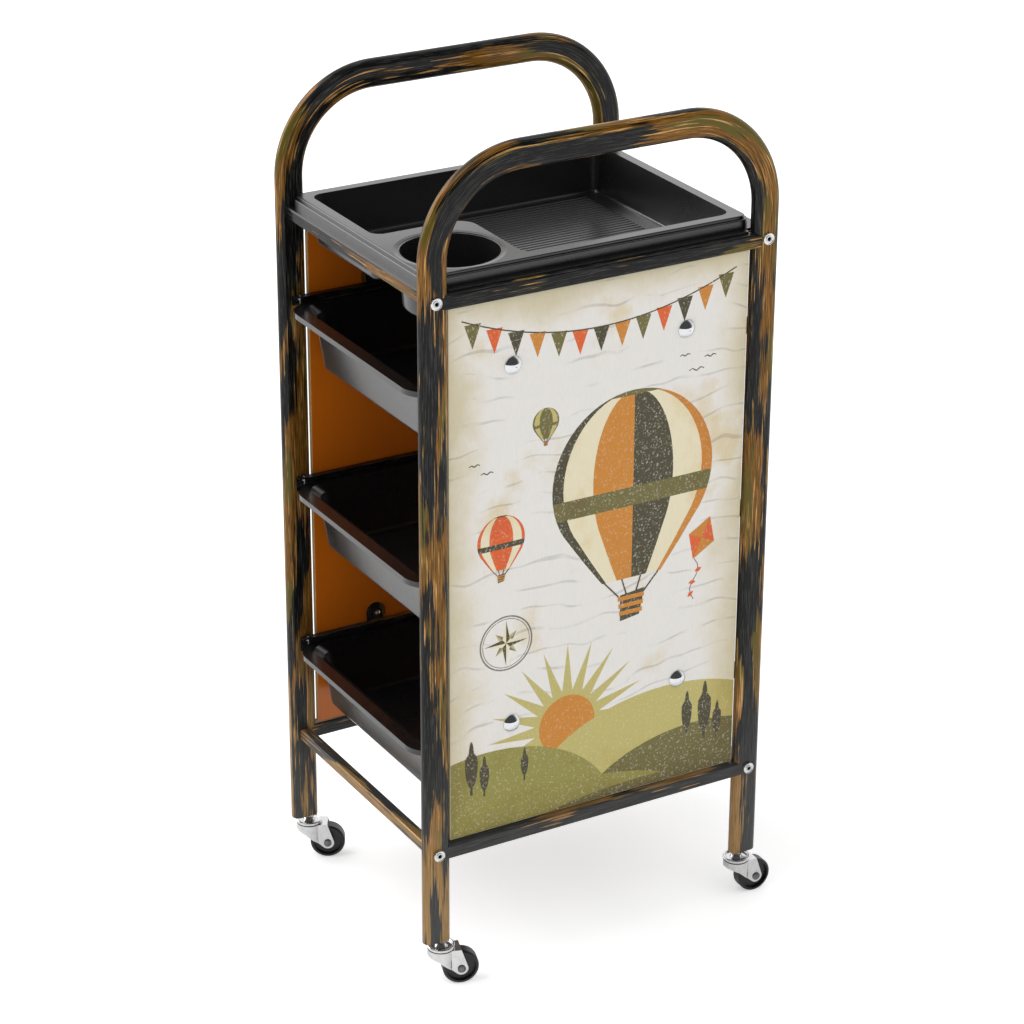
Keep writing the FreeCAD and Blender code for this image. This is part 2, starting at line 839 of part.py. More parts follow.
def fork():
    low = axle_level - fork_eye_radius - overrun
    body = fork_plan(0, low, crown_top).cut(fork_plan(fork_sheet, low - overrun, crown_bottom))
    half_width = fork_crown_diameter / 2 + overrun
    side = Part.Face(fork_side()).extrude(AXIS_Y * 2 * half_width)
    side.translate(AXIS_Y * -half_width)
    body = body.common(side)
    stem_start = AXIS_Z * (crown_bottom - overrun)
    body = body.cut(rod(stem_diameter / 2 + stem_play, stem_start, AXIS_Z * crown_top))
    pin_start = Vec(caster_trail, -half_width, axle_level)
    body = body.cut(rod(axle_diameter / 2, pin_start, AXIS_Y * 2 * half_width))
    return body.cut(race_groove()).removeSplitter().Solids[0]


def race_groove():
    return Part.makeTorus(race_diameter / 2, ball_diameter / 2 + ball_play, AXIS_Z * race_level)


def balls():
    places = []
    for i in range(ball_count):
        angle = 2 * math.pi / ball_count * i
        centre = Vec(math.cos(angle), math.sin(angle), 0) * (race_diameter / 2) + AXIS_Z * race_level
        places.append(Part.makeSphere(ball_diameter / 2, centre))
    return places


def cup_plate():
    """Dished upper race with a rolled rim and a cone round the stem."""
    bore = stem_diameter / 2 + stem_play
    radius = cup_plate_diameter / 2
    points = [
        (bore, 0),
        (radius, 0),
        (radius, cup_ring_height),
        (radius - cup_ring_width, cup_ring_height),
        (radius - cup_ring_width, cup_plate_sheet),
        (cup_hub_foot_diameter / 2, cup_plate_sheet),
        (cup_hub_top_diameter / 2, cup_plate_height),
        (bore, cup_plate_height),
    ]
    radii = [0, cup_ring_round, cup_ring_round, cup_ring_round, 0, 0, 0, 0]
    plate = turned(points, radii, AXIS_Z * cup_plate_bottom, AXIS_X, AXIS_Z)
    return plate.cut(race_groove()).Solids[0]


def stem():
    """Pin with a head under the fork and a threaded length up into the leg."""
    head_top = crown_bottom - stem_head_gap
    head_bottom = head_top - stem_head_height
    top = leg_bottom + stem_reach
    radius = stem_diameter / 2
    head = stem_head_diameter / 2
    points = [
        (0, head_bottom),
        (head, head_bottom),
        (head, head_top),
        (radius, head_top),
        (radius, top - stem_chamfer),
        (radius - stem_chamfer, top),
        (0, top),
    ]
    return turned(points, [0, stem_head_round, 0, 0, 0, 0, 0], ORIGIN, AXIS_X, AXIS_Z)


def stem_nut():
    base = AXIS_Z * stem_nut_bottom
    flats = hexagon(stem_nut_width)
    nut = prism(flats, all_corners(flats, 0), base, AXIS_Y, AXIS_X, AXIS_Z * stem_nut_height)
    bore_start = base - AXIS_Z * overrun
    bore = rod(stem_diameter / 2 + stem_play, bore_start, AXIS_Z * (stem_nut_height + 2 * overrun))
    return nut.cut(bore).Solids[0]


def leg_plug(post, stem_place):
    """Plug in the foot of a post, bored for the stem."""
    half_across = tube_short / 2 - tube_wall - plug_play
    half_along = tube_long / 2 - tube_wall - plug_play
    points = rectangle(-half_across, half_across, -half_along, half_along)
    base = post + AXIS_Z * leg_bottom
    plug = prism(points, all_corners(points, half_across), base, AXIS_X, AXIS_Y, AXIS_Z * plug_length)
    bore_start = stem_place + AXIS_Z * (leg_bottom - overrun)
    bore = rod(stem_diameter / 2 + stem_play, bore_start, AXIS_Z * (stem_reach + 2 * overrun))
    return plug.cut(bore).Solids[0]


def placed(shape, place, turn):
    moved = shape.copy()
    moved.rotate(ORIGIN, AXIS_Z, turn)
    moved.translate(place)
    return moved


caster_reach = half_posts - caster_inset
caster_table = (
    ("right_front", Vec(half_frames, -caster_reach, 0), turn_right_front),
    ("left_front", Vec(-half_frames, -caster_reach, 0), turn_left_front),
    ("right_rear", Vec(half_frames, caster_reach, 0), turn_right_rear),
    ("left_rear", Vec(-half_frames, caster_reach, 0), turn_left_rear),
)


# Writing the side frames
save_sides(both_sides(hoop()), "hoop")
save_sides(both_sides(cross_bar(bar_level_top)), "top_bar")
save_sides(both_sides(cross_bar(bar_height_low)), "bottom_bar")

runner_table = (
    ("upper", runner_level_upper),
    ("middle", runner_level_middle),
    ("lower", runner_level_lower),
)
screws = []
nuts = []
for name, level in runner_table:
    save_sides(both_sides(runner(level)), "runner_" + name)
    screws += both_sides(stop_screw(level))
    nuts += both_sides(stop_nut(level))
save(screws, "stop_screws")
save(nuts, "stop_nuts")

# Writing the side boards with their lugs, caps and nuts
save_sides(both_sides(board()), "side_board")
for maker, name in ((lug, "board_lugs"), (cap_screw, "board_caps"), (cap_nut, "board_nuts")):
    pairs = [both_sides(maker(place)) for place in lug_places()]
    save([pair[0] for pair in pairs], name + "_right")
    save([pair[1] for pair in pairs], name + "_left")

# Writing the cross rails and bolts
for depth_name, y in (("front", -half_posts), ("rear", half_posts)):
    save([cross_rail(y, rail_level_top)], "top_rail_" + depth_name)
    save([cross_rail(y, rail_level_low)], "bottom_rail_" + depth_name)
bolts = [both_sides(frame_bolt(place)) for place in bolt_places()]
save([pair[0] for pair in bolts], "frame_bolts_right")
save([pair[1] for pair in bolts], "frame_bolts_left")

# Writing the tray and the drawers
save([top_tray()], "top_tray")
for name, level in runner_table:
    save([drawer(level)], "drawer_" + name)

# Writing the casters
plugs = []
stem_nuts = []
for name, place, turn in caster_table:
    post = Vec(place.x, math.copysign(half_posts, place.y), 0)
    plugs.append(leg_plug(post, place))
    stem_nuts.append(placed(stem_nut(), place, 0))
    for maker in (stem, cup_plate, fork, axle, wheel):
        save([placed(maker(), place, turn)], "caster_" + maker.__name__ + "_" + name)
    save([placed(ball, place, turn) for ball in balls()], "caster_balls_" + name)
save(plugs, "leg_plugs")
save(stem_nuts, "stem_nuts")
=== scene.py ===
# %% [markdown]
# The object is a narrow utility cart on casters, the kind that stands beside a chair in a salon.
# Two bent tube frames carry two printed boards, three drawers and a moulded tray. The CAD frame
# already holds every part at its real size, so it is loaded first and nothing on it is moved.
# What follows dresses it: some parts are modelled again with softer edges, and the others keep
# their CAD shape and get a finish.

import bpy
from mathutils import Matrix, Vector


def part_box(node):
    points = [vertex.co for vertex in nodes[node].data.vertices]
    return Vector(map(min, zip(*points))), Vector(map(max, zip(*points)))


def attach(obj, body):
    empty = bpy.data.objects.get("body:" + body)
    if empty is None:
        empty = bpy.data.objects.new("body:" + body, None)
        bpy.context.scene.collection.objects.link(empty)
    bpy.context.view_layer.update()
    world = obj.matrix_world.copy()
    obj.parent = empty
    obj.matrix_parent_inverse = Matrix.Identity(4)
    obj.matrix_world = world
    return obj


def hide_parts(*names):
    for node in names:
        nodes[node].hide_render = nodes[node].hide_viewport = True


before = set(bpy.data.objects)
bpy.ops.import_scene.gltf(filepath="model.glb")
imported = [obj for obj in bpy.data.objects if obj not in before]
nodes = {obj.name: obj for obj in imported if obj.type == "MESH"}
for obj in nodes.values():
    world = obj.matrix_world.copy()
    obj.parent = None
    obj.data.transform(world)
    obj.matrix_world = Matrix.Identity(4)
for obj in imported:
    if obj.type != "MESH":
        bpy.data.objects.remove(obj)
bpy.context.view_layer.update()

# %% [markdown]
# Blender's own modules come next. One millimetre gets a name, because small parts are easier to
# think of in millimetres while the scene is in metres, and so does a quarter turn. The sides, the
# corners and the levels of the drawers are named here too, since most parts of a cart repeat.

# %% Modules, units and the names that repeat
import math

import bmesh
import bpy
from mathutils import Euler, Matrix, Vector

MM = 0.001
quarter_turn = math.pi / 2
sides = {"right": 1, "left": -1}
corners = ("right_front", "left_front", "right_rear", "left_rear")
levels = ("upper", "middle", "lower")

# %% [markdown]
# The camera is worked out from the photograph: its direction, its distance and its lens were
# fitted until the screws and the corners of the board fell on their pixels. It is described here
# as a photographer would, by how far round and how high it stands, and where it points.

# %% Place the camera
camera_azimuth = math.radians(59.892)
camera_elevation = math.radians(24.269)
camera_roll = math.radians(0.249)
camera_distance = 3.3633
camera_lens = 113.67
camera_target = Vector((-3.09, -10.78, 434.24)) * MM


def towards(azimuth, elevation):
    """Direction from the object to something that stands round it at those angles."""
    level = math.cos(elevation)
    return Vector((math.sin(azimuth) * level, -math.cos(azimuth) * level, math.sin(elevation)))


camera_place = camera_target + towards(camera_azimuth, camera_elevation) * camera_distance
camera_turn = Euler((quarter_turn - camera_elevation, 0, camera_azimuth)).to_matrix()
camera_turn = camera_turn @ Matrix.Rotation(camera_roll, 3, "Z")
bpy.ops.object.camera_add(location=camera_place, rotation=camera_turn.to_euler())
camera = bpy.context.object
camera.name = "camera"
camera.data.lens = camera_lens
bpy.context.scene.camera = camera
print("camera at", [round(value, 3) for value in camera_place])

# %% [markdown]
# Materials are built from nodes. Adding a node, setting it and joining its sockets takes several
# lines each time, so a few small helpers do it: one fills a socket with a value or a link, one
# adds a node, and the others name the sums that come up again and again. Colours are written as
# they would be picked from a picture, from 0 to 255, and turned into the linear values of a shader.

# %% Helpers for nodes
def paint(red, green, blue):
    """A colour picked from a picture as the linear colour of a shader."""
    linear = []
    for value in (red, green, blue):
        share = value / 255
        linear.append(share / 12.92 if share <= 0.04045 else ((share + 0.055) / 1.055) ** 2.4)
    return (*linear, 1)


def fill(tree, socket, value):
    """Links a socket to another, or gives it a plain value."""
    if isinstance(value, bpy.types.NodeSocket):
        tree.links.new(value, socket)
    else:
        socket.default_value = value


def add_node(tree, kind, inputs=None, **settings):
    """A shader node with its settings made and its inputs filled."""
    made = tree.nodes.new("ShaderNode" + kind)
    for name, value in settings.items():
        setattr(made, name, value)
    for key, value in (inputs or {}).items():
        fill(tree, made.inputs[key], value)
    return made


def sum_of(tree, operation, *values):
    """The result of a Math node."""
    return add_node(tree, "Math", dict(enumerate(values)), operation=operation).outputs[0]


def times(tree, value, factor, extra=0.0):
    """A value times a factor, plus something more."""
    return sum_of(tree, "MULTIPLY_ADD", value, factor, extra)


def step_up(tree, value, low, high):
    """A smooth mask: 0 below low and 1 above high, or falling where low is the higher."""
    inputs = {"Value": value, "From Min": low, "From Max": high}
    return add_node(tree, "MapRange", inputs, interpolation_type="SMOOTHSTEP").outputs["Result"]


def blend_of(tree, factor, first, second, way="MIX"):
    """Two colours mixed by a factor, or multiplied."""
    inputs = {0: factor, 6: first, 7: second}
    return add_node(tree, "Mix", inputs, data_type="RGBA", blend_type=way).outputs[2]


def noise_at(tree, place, scale, detail=2.0, roughness=0.5):
    """Noise on stretched coordinates: the scale says how many features a metre holds each way."""
    mapped = add_node(tree, "Mapping", {"Vector": place, "Scale": scale})
    inputs = {"Vector": mapped.outputs[0], "Scale": 1.0, "Detail": detail, "Roughness": roughness}
    return add_node(tree, "TexNoise", inputs).outputs["Fac"]


socket_kinds = {"Place": "Vector"}
socket_kinds.update(dict.fromkeys(("Color", "Ink", "Dark", "Light", "Bright", "Dull"), "Color"))


def new_group(name, inputs, outputs):
    """A node group and its two ends. A socket is a plain number unless socket_kinds has it."""
    group = bpy.data.node_groups.new(name, "ShaderNodeTree")
    for way, labels in {"INPUT": inputs, "OUTPUT": outputs}.items():
        for label in labels:
            kind = "NodeSocket" + socket_kinds.get(label, "Float")
            group.interface.new_socket(label, in_out=way, socket_type=kind)
    return group, group.nodes.new("NodeGroupInput"), group.nodes.new("NodeGroupOutput")


def give_out(group, leave, **results):
    """Leads values to the outputs of a group."""
    for label, value in results.items():
        fill(group, leave.inputs[label], value)


def new_material(name, **sockets):
    """A material with its Principled shader set by socket names, with _ for a space."""
    material = bpy.data.materials.new(name)
    material.use_nodes = True
    tree = material.node_tree
    shader = tree.nodes["Principled BSDF"]
    for label, value in sockets.items():
        shader.inputs[label.replace("_", " ")].default_value = value
    return material, tree, shader


def use_group(tree, shader, group, inputs, relief=0.0, strength=0.0):
    """Adds a group and leads its results to the shader, its height through a bump."""
    made = add_node(tree, "Group", inputs, node_tree=group).outputs
    for label in ("Color", "Roughness", "Metallic"):
        if label in made:
            fill(tree, shader.inputs["Base Color" if label == "Color" else label], made[label])
    if relief:
        bump = {"Height": made["Height"], "Distance": relief, "Strength": strength}
        fill(tree, shader.inputs["Normal"], add_node(tree, "Bump", bump).outputs[0])
    return made


def object_place(tree):
    """Object coordinates, which stay with the piece when it moves."""
    return add_node(tree, "TexCoord").outputs["Object"]


print("a mid grey of 128 is", round(paint(128, 128, 128)[0], 3), "in linear light")

# %% [markdown]
# The photograph was taken in a white studio. A pale floor, an even white sky and two broad lamps
# give the same soft light. A third lamp stands low at the left and only shows as a gleam along
# rounded edges: its diffuse light is off, so it draws highlights and changes no colour. The floor
# shines a little for the camera alone, as white paper that is lit from all round does.

# %% Floor and lamps
floor_size = 40.0
floor_white = paint(252, 252, 252)
floor_glow = 0.42
floor_grain_scale = (3, 3, 3)
lamp_table = (
    ("key_lamp", (-28, 58), 1.05, 42, None),
    ("fill_lamp", (100, 40), 0.38, 60, "glossy"),
    ("edge_lamp", (-53, 18), 1.1, 44, "diffuse"),
)

bpy.ops.mesh.primitive_plane_add(size=floor_size)
floor = bpy.context.object
floor.name = "studio_floor"
floor_paint, floor_tree, floor_shader = new_material(
    "floor_paint", Roughness=0.9, Specular_IOR_Level=0.1
)
floor_grain = noise_at(floor_tree, object_place(floor_tree), floor_grain_scale)
floor_colour = blend_of(floor_tree, floor_grain, floor_white, paint(255, 255, 255))
floor_seen = add_node(floor_tree, "LightPath").outputs["Is Camera Ray"]
fill(floor_tree, floor_shader.inputs["Base Color"], floor_colour)
fill(floor_tree, floor_shader.inputs["Emission Color"], floor_white)
glow = times(floor_tree, floor_seen, floor_glow)
fill(floor_tree, floor_shader.inputs["Emission Strength"], glow)
floor.data.materials.append(floor_paint)

for name, angles, strength, spread, hidden in lamp_table:
    direction = towards(*map(math.radians, angles))
    turn = direction.to_track_quat("Z", "Y").to_euler()
    bpy.ops.object.light_add(type="SUN", location=direction * camera_distance, rotation=turn)
    sun = bpy.context.object
    sun.name = name
    sun.data.energy = strength
    sun.data.angle = math.radians(spread)
    if hidden:
        setattr(sun, "visible_" + hidden, False)
print(len(lamp_table), "lamps over a floor of", floor_size, "m")

# %% [markdown]
# The sky looks white to the camera, but lights the object less than that, so that the lamps can
# draw a gentle shadow and colours render about as they are written. In reflections it is white
# behind the cart and dark on the photographer's side, because a real studio has white paper
# behind the object and an unlit room behind the camera. That dark side keeps black enamel black
# and draws the dark heart in a chromed dome. What the sky gives depends on the kind of ray that
# asks, which the light path node tells apart.

# %% Sky
sky_level = 0.66
dark_level = 0.06
dark_edge = 0.35
dark_way = towards(camera_azimuth, math.radians(12))

sky = bpy.data.worlds.new("studio_sky")
sky.use_nodes = True
sky_tree = sky.node_tree
rays = add_node(sky_tree, "LightPath").outputs
sky_way = {0: object_place(sky_tree), 1: dark_way}
toward_dark = add_node(sky_tree, "VectorMath", sky_way, operation="DOT_PRODUCT").outputs["Value"]
darkness = step_up(sky_tree, toward_dark, -dark_edge, dark_edge)
mirrored = times(sky_tree, darkness, dark_level - 1, 1.0)
seen = sum_of(sky_tree, "MAXIMUM", rays["Is Camera Ray"], rays["Is Transmission Ray"])
seen = times(sky_tree, seen, 1 - sky_level, sky_level)
extra = sum_of(sky_tree, "SUBTRACT", mirrored, sky_level)
sky_strength = times(sky_tree, rays["Is Glossy Ray"], extra, seen)
sky_shader = sky_tree.nodes["Background"]
sky_shader.inputs["Color"].default_value = paint(255, 255, 255)
fill(sky_tree, sky_shader.inputs["Strength"], sky_strength)
bpy.context.scene.world = sky
bpy.context.scene.view_settings.view_transform = "Standard"
print("sky level", sky_level, "and", dark_level, "in dark reflections")

# %% [markdown]
# The frame's finish is the first thing one sees: black enamel over which gold paint was dragged
# with a dry brush, along each tube. An image could hold it, but it would repeat and blur up close.
# Layers of stretched noise do better. Long soft patches say where the brush went, thin streaks
# fray their ends, finer hairs lighten them with pale gold that is partly a painted highlight, and
# here and there the gold turns olive. Towards the floor everything grows paler and greyer, most
# along the hairs. The same group serves every tube, and takes a place whose third value runs
# along the tube.

# %% The brushed patina as a node group
enamel_black = paint(16, 17, 16)
dry_grey = paint(88, 90, 86)
umber = paint(78, 54, 16)
old_gold = paint(142, 98, 38)
olive_gold = paint(98, 86, 34)
# Pale gold of the lighter brush strokes, which partly stands in as a painted highlight.
pale_gold_and_highlight = paint(214, 164, 104)
# Paler tones that the patina takes towards the floor.
floorward_grey = paint(78, 79, 78)
floorward_gold = paint(178, 142, 96)
patch_scale = (44, 44, 8)
streak_scale = (420, 420, 13)
hair_scale = (1500, 1500, 36)
tint_scale = (70, 70, 10)
gold_edge = (1.11, 1.17)
pale_stroke_highlight_edge = (0.82, 0.94)
scratch_edge = (0.52, 0.68)
umber_edge = (0.35, 0.6)
olive_edge = (0.5, 0.6)


def brushed_patina():
    outputs = ("Color", "Roughness", "Metallic", "Height")
    group, enter, leave = new_group("brushed_patina", ("Place", "Cover", "Floorward_Fade"), outputs)
    place = enter.outputs["Place"]
    floorward_fade = enter.outputs["Floorward_Fade"]
    patches = noise_at(group, place, patch_scale)
    streaks = noise_at(group, place, streak_scale, detail=4, roughness=0.62)
    hairs = noise_at(group, place, hair_scale, roughness=0.65)
    tints = noise_at(group, place, tint_scale)
    brushed = times(group, streaks, 0.7, times(group, patches, 1.5))
    brushed = sum_of(group, "ADD", brushed, enter.outputs["Cover"])
    gold = step_up(group, brushed, *gold_edge)
    # Pale gold strokes, partly painted highlight, where hairs and streaks run high.
    bright = step_up(group, times(group, hairs, 0.5, streaks), *pale_stroke_highlight_edge)
    scratched = times(group, step_up(group, hairs, *scratch_edge), 0.6)
    ground = blend_of(group, scratched, enamel_black, dry_grey)
    # Towards the floor the enamel and the gold turn paler, most along the hairs.
    veil = times(group, floorward_fade, times(group, hairs, 1.7, -0.1))
    ground = blend_of(group, veil, ground, floorward_grey)
    metal = blend_of(group, step_up(group, hairs, *umber_edge), umber, old_gold)
    metal = blend_of(group, step_up(group, tints, *olive_edge), metal, olive_gold)
    metal = blend_of(group, bright, metal, pale_gold_and_highlight)
    metal = blend_of(group, veil, metal, floorward_gold)
    colour = blend_of(group, gold, ground, metal)
    rough = times(group, hairs, 0.2, 0.2)
    rough = times(group, gold, 0.12, rough)
    height = times(group, gold, 0.6, times(group, streaks, 0.4))
    metallic = times(group, gold, 0.3)
    give_out(group, leave, Color=colour, Roughness=rough, Metallic=metallic, Height=height)
    return group


patina_group = brushed_patina()
print("patina group has", len(patina_group.nodes), "nodes")

# %% [markdown]
# A material then only says where its place comes from. On a straight tube the object's own
# coordinates will do, once they are reordered so that the third one runs along the tube. On the
# bent hoop they won't, so its mesh carries an attribute that follows the tube round its bends.

# %% Frame materials, one for each direction of tube
along_orders = {"x": (1, 2, 0), "y": (2, 0, 1), "z": (0, 1, 2)}
covers = {"x": 0.04, "y": -0.12, "z": -0.05}
hoop_cover = 0.03
brush_relief = 0.15 * MM
# The patina grows paler from the first height down to the second, towards the floor.
pale_fade_top = 330 * MM
pale_fade_foot = 40 * MM


def patina_material(name, place_of, cover):
    """Black enamel with brushed gold, on the place that place_of gives."""
    material, tree, shader = new_material(
        name, Specular_IOR_Level=0.08, Coat_Weight=0.3, Coat_Roughness=0.05
    )
    height = add_node(tree, "SeparateXYZ", {0: object_place(tree)}).outputs[2]
    # A mask that rises towards the floor.
    floorward_fade = step_up(tree, height, pale_fade_top, pale_fade_foot)
    inputs = {"Place": place_of(tree), "Cover": cover, "Floorward_Fade": floorward_fade}
    use_group(tree, shader, patina_group, inputs, brush_relief, 0.5)
    return material


def place_along(axis):
    """Object coordinates reordered so that the third one follows an axis."""

    def place_of(tree):
        parts = add_node(tree, "SeparateXYZ", {0: object_place(tree)}).outputs
        order = {socket: parts[place] for socket, place in enumerate(along_orders[axis])}
        return add_node(tree, "CombineXYZ", order).outputs[0]

    return place_of


def place_on_tube(tree):
    return add_node(tree, "Attribute", attribute_name="tube_place").outputs["Vector"]


hoop_patina = patina_material("hoop_patina", place_on_tube, hoop_cover)
patina_along = {}
for axis in along_orders:
    patina_along[axis] = patina_material("patina_along_" + axis, place_along(axis), covers[axis])
print("frame materials:", sorted(["hoop", *patina_along]))

# %% [markdown]
# Modelling goes the way it goes by hand: a primitive is added, some of its points are picked and
# then extruded, turned or scaled, the shape is closed, and modifiers are applied. Each of those
# moves takes a few lines in a script, so they become small helpers. Points are picked by a test
# on their place, because their numbers change whenever the shape does.

# %% Helpers for modelling
def deselect():
    if bpy.context.object and bpy.context.object.mode != "OBJECT":
        bpy.ops.object.mode_set(mode="OBJECT")
    bpy.ops.object.select_all(action="DESELECT")


def select_only(piece):
    deselect()
    piece.select_set(True)
    bpy.context.view_layer.objects.active = piece


def start_piece(name, kind, scale=(1, 1, 1), **options):
    """Adds a primitive, names it and brings its place and scale into its mesh, in edit mode."""
    deselect()
    getattr(bpy.ops.mesh, "primitive_" + kind + "_add")(**options)
    piece = bpy.context.object
    piece.name = name
    piece.scale = scale
    bpy.ops.object.transform_apply()
    bpy.ops.object.mode_set(mode="EDIT")
    return piece


def pick(piece, kind, test):
    """Selects those verts, edges or faces of the piece in edit mode that pass a test."""
    order = ("verts", "edges", "faces")
    bpy.context.tool_settings.mesh_select_mode = [kind == name for name in order]
    bpy.ops.mesh.select_all(action="DESELECT")
    mesh = bmesh.from_edit_mesh(piece.data)
    picked = [part for part in getattr(mesh, kind) if test(part)]
    for part in picked:
        part.select_set(True)
    mesh.select_flush(True)
    bmesh.update_edit_mesh(piece.data)
    return len(picked)


def pick_all():
    bpy.ops.mesh.select_all(action="SELECT")


def extrude(x=0.0, y=0.0, z=0.0):
    bpy.ops.mesh.extrude_region_move(TRANSFORM_OT_translate={"value": (x, y, z)})


def stretch(x, y, z, about):
    bpy.ops.transform.resize(value=(x, y, z), center_override=about)


def close_shape(piece):
    """Merges doubles, turns the faces outwards and leaves edit mode."""
    pick_all()
    bpy.ops.mesh.remove_doubles(threshold=0.001 * MM)
    bpy.ops.mesh.normals_make_consistent(inside=False)
    bpy.ops.object.mode_set(mode="OBJECT")
    return piece


def use_modifier(piece, kind, **settings):
    """Adds a modifier, sets it and applies it."""
    select_only(piece)
    made = piece.modifiers.new(kind.lower(), kind)
    for name, value in settings.items():
        setattr(made, name, value)
    bpy.ops.object.modifier_apply(modifier=made.name)


def copy_of(piece, name):
    select_only(piece)
    bpy.ops.object.duplicate()
    made = bpy.context.object
    made.name = name
    return made


def dress(piece, body, material_slot, *replaced):
    """Puts a finished piece on its body, in the place of its CAD nodes."""
    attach(piece, body)
    if replaced:
        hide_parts(*replaced)
    print(piece.name, "has", len(piece.data.polygons), "faces")


print("modelling helpers ready")

# %% [markdown]
# Now the first modelled piece. On the real cart each hoop is one flat oval tube, bent twice. It
# is built the same way: a circle is pulled apart into the oval section, extruded up the front
# leg, spun round the first bend, extruded along the handle, spun and extruded down again. A
# curve with a bevel would be quicker, but the section would be harder to control and the mesh
# would have no clean rings.

# %% Bend the right hoop
hoop_low, hoop_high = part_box("hoop_right")
tube_short = hoop_high.x - hoop_low.x
tube_long = 30 * MM
tube_wall = 1.5 * MM
bend_radius = 95 * MM
hoop_x = (hoop_low.x + hoop_high.x) / 2
post_y = hoop_high.y - tube_long / 2
handle_z = hoop_high.z - tube_long / 2
bend_z = handle_z - bend_radius
foot_z = hoop_low.z
section_points = 40
bend_steps = 28


def bend_tube(centre_y):
    """Carries the selected ring round a quarter bend, towards the rear."""
    centre = (hoop_x, centre_y, bend_z)
    bpy.ops.mesh.spin(steps=bend_steps, angle=quarter_turn, center=centre, axis=(1, 0, 0))


hoop = start_piece(
    "hoop_tube_right",
    "circle",
    vertices=section_points,
    radius=tube_short / 2,
    location=(hoop_x, -post_y, foot_z),
    rotation=(0, 0, math.pi / section_points),
)
for way in (-1, 1):
    pick(hoop, "verts", lambda vert: (vert.co.y + post_y) * way > 0)
    bpy.ops.transform.translate(value=(0, way * (tube_long - tube_short) / 2, 0))
pick_all()
extrude(z=bend_z - foot_z)
bend_tube(bend_radius - post_y)
extrude(y=2 * (post_y - bend_radius))
bend_tube(post_y - bend_radius)
extrude(z=foot_z - bend_z)
close_shape(hoop)
print("hoop top at", round(max(vert.co.z for vert in hoop.data.vertices) / MM, 2), "mm")

# %% [markdown]
# The tube gets its wall, and the cut edge at each foot is broken a little, as a saw and a file
# leave it. Then every point learns its place on the tube: how far it lies across, how far out
# from the middle line, and how far along that line. The left hoop is a copy with its own mesh,
# and starts further along, so that the brush strokes on the two differ.

# %% Wall, feet and the place along the tube
foot_break = 0.35 * MM
foot_angle = math.radians(60)
smooth_angle = math.radians(35)
left_start = 7.0
leg_length = bend_z - foot_z
bend_length = quarter_turn * bend_radius
handle_length = 2 * (post_y - bend_radius)


def place_along_hoop(point):
    """Distance out from the tube's middle line, and along that line from the front foot."""
    inner = abs(point.y) - (post_y - bend_radius)
    rise = point.z - bend_z
    if rise > 0 and inner <= 0:
        return rise - bend_radius, leg_length + bend_length + handle_length / 2 + point.y
    if rise <= 0:
        out, run = inner - bend_radius, point.z - foot_z
    else:
        out = math.hypot(inner, rise) - bend_radius
        run = leg_length + math.atan2(rise, inner) * bend_radius
    whole = 2 * (leg_length + bend_length) + handle_length
    return out, (run if point.y < 0 else whole - run)


def note_tube_place(piece, start):
    """Writes each point's place on the tube into an attribute that the finish reads."""
    attribute = piece.data.attributes.new("tube_place", "FLOAT_VECTOR", "POINT")
    middle = sum(vert.co.x for vert in piece.data.vertices) / len(piece.data.vertices)
    for vert in piece.data.vertices:
        out, run = place_along_hoop(vert.co)
        attribute.data[vert.index].vector = (vert.co.x - middle, out, run + start)


use_modifier(hoop, "SOLIDIFY", thickness=tube_wall, offset=-1, use_even_offset=True)
foot_bevel = {"width": foot_break, "segments": 2, "limit_method": "ANGLE"}
use_modifier(hoop, "BEVEL", angle_limit=foot_angle, **foot_bevel)
bpy.ops.object.shade_smooth_by_angle(angle=smooth_angle)
hoop.data.materials.append(hoop_patina)

left_hoop = copy_of(hoop, "hoop_tube_left")
left_hoop.location.x = -2 * hoop_x
bpy.ops.object.transform_apply()
note_tube_place(hoop, 0.0)
note_tube_place(left_hoop, left_start)
dress(hoop, "frame", "frame_paint", "hoop_right")
dress(left_hoop, "frame", "frame_paint", "hoop_left")

# %% [markdown]
# The bars, rails and runners are straight. Their CAD shapes have their rounded corners already,
# and the bars are coped to fit the posts, so they only get the patina that runs their way.

# %% Finish the straight tubes and the lugs
def finish_node(name, material):
    """Gives a CAD node a material in place of the plain one it came with."""
    nodes[name].data.materials.clear()
    nodes[name].data.materials.append(material)


side_tubes = {"top_bar_": "y", "bottom_bar_": "y", "board_lugs_": "z"}
side_tubes.update({"runner_" + level + "_": "y" for level in levels})
for side in sides:
    for name, axis in side_tubes.items():
        finish_node(name + side, patina_along[axis])
for end in ("front", "rear"):
    finish_node("top_rail_" + end, patina_along["x"])
    finish_node("bottom_rail_" + end, patina_along["x"])
print("straight tubes finished")

# %% [markdown]
# The side boards carry an old print: ink on cream paper, yellowed in blotches and towards its
# edges, with a fine weave and small flecks where the ink has worn. Since every ink of the print
# ages the same way, ageing is a group that takes an ink and gives it back aged. It reads the
# place on the board, so that a stain runs on across from one ink to the next.

# %% Ageing of the print as a node group
board_low, board_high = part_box("side_board_right")
board_half = board_high.y
stain_yellow = paint(232, 206, 132)
stain_olive = paint(204, 186, 100)
worn_cream = paint(232, 228, 214)
blotch_scale = (12, 12, 12)
fleck_scale = (420, 420, 420)
weave_scale = (900, 900, 140)
border_wander = 90 * MM
border_edge = (92 * MM, 38 * MM)
stain_edge = (0.52, 0.74)
worn_edge = (0.56, 0.66)
stain_strength = 0.62


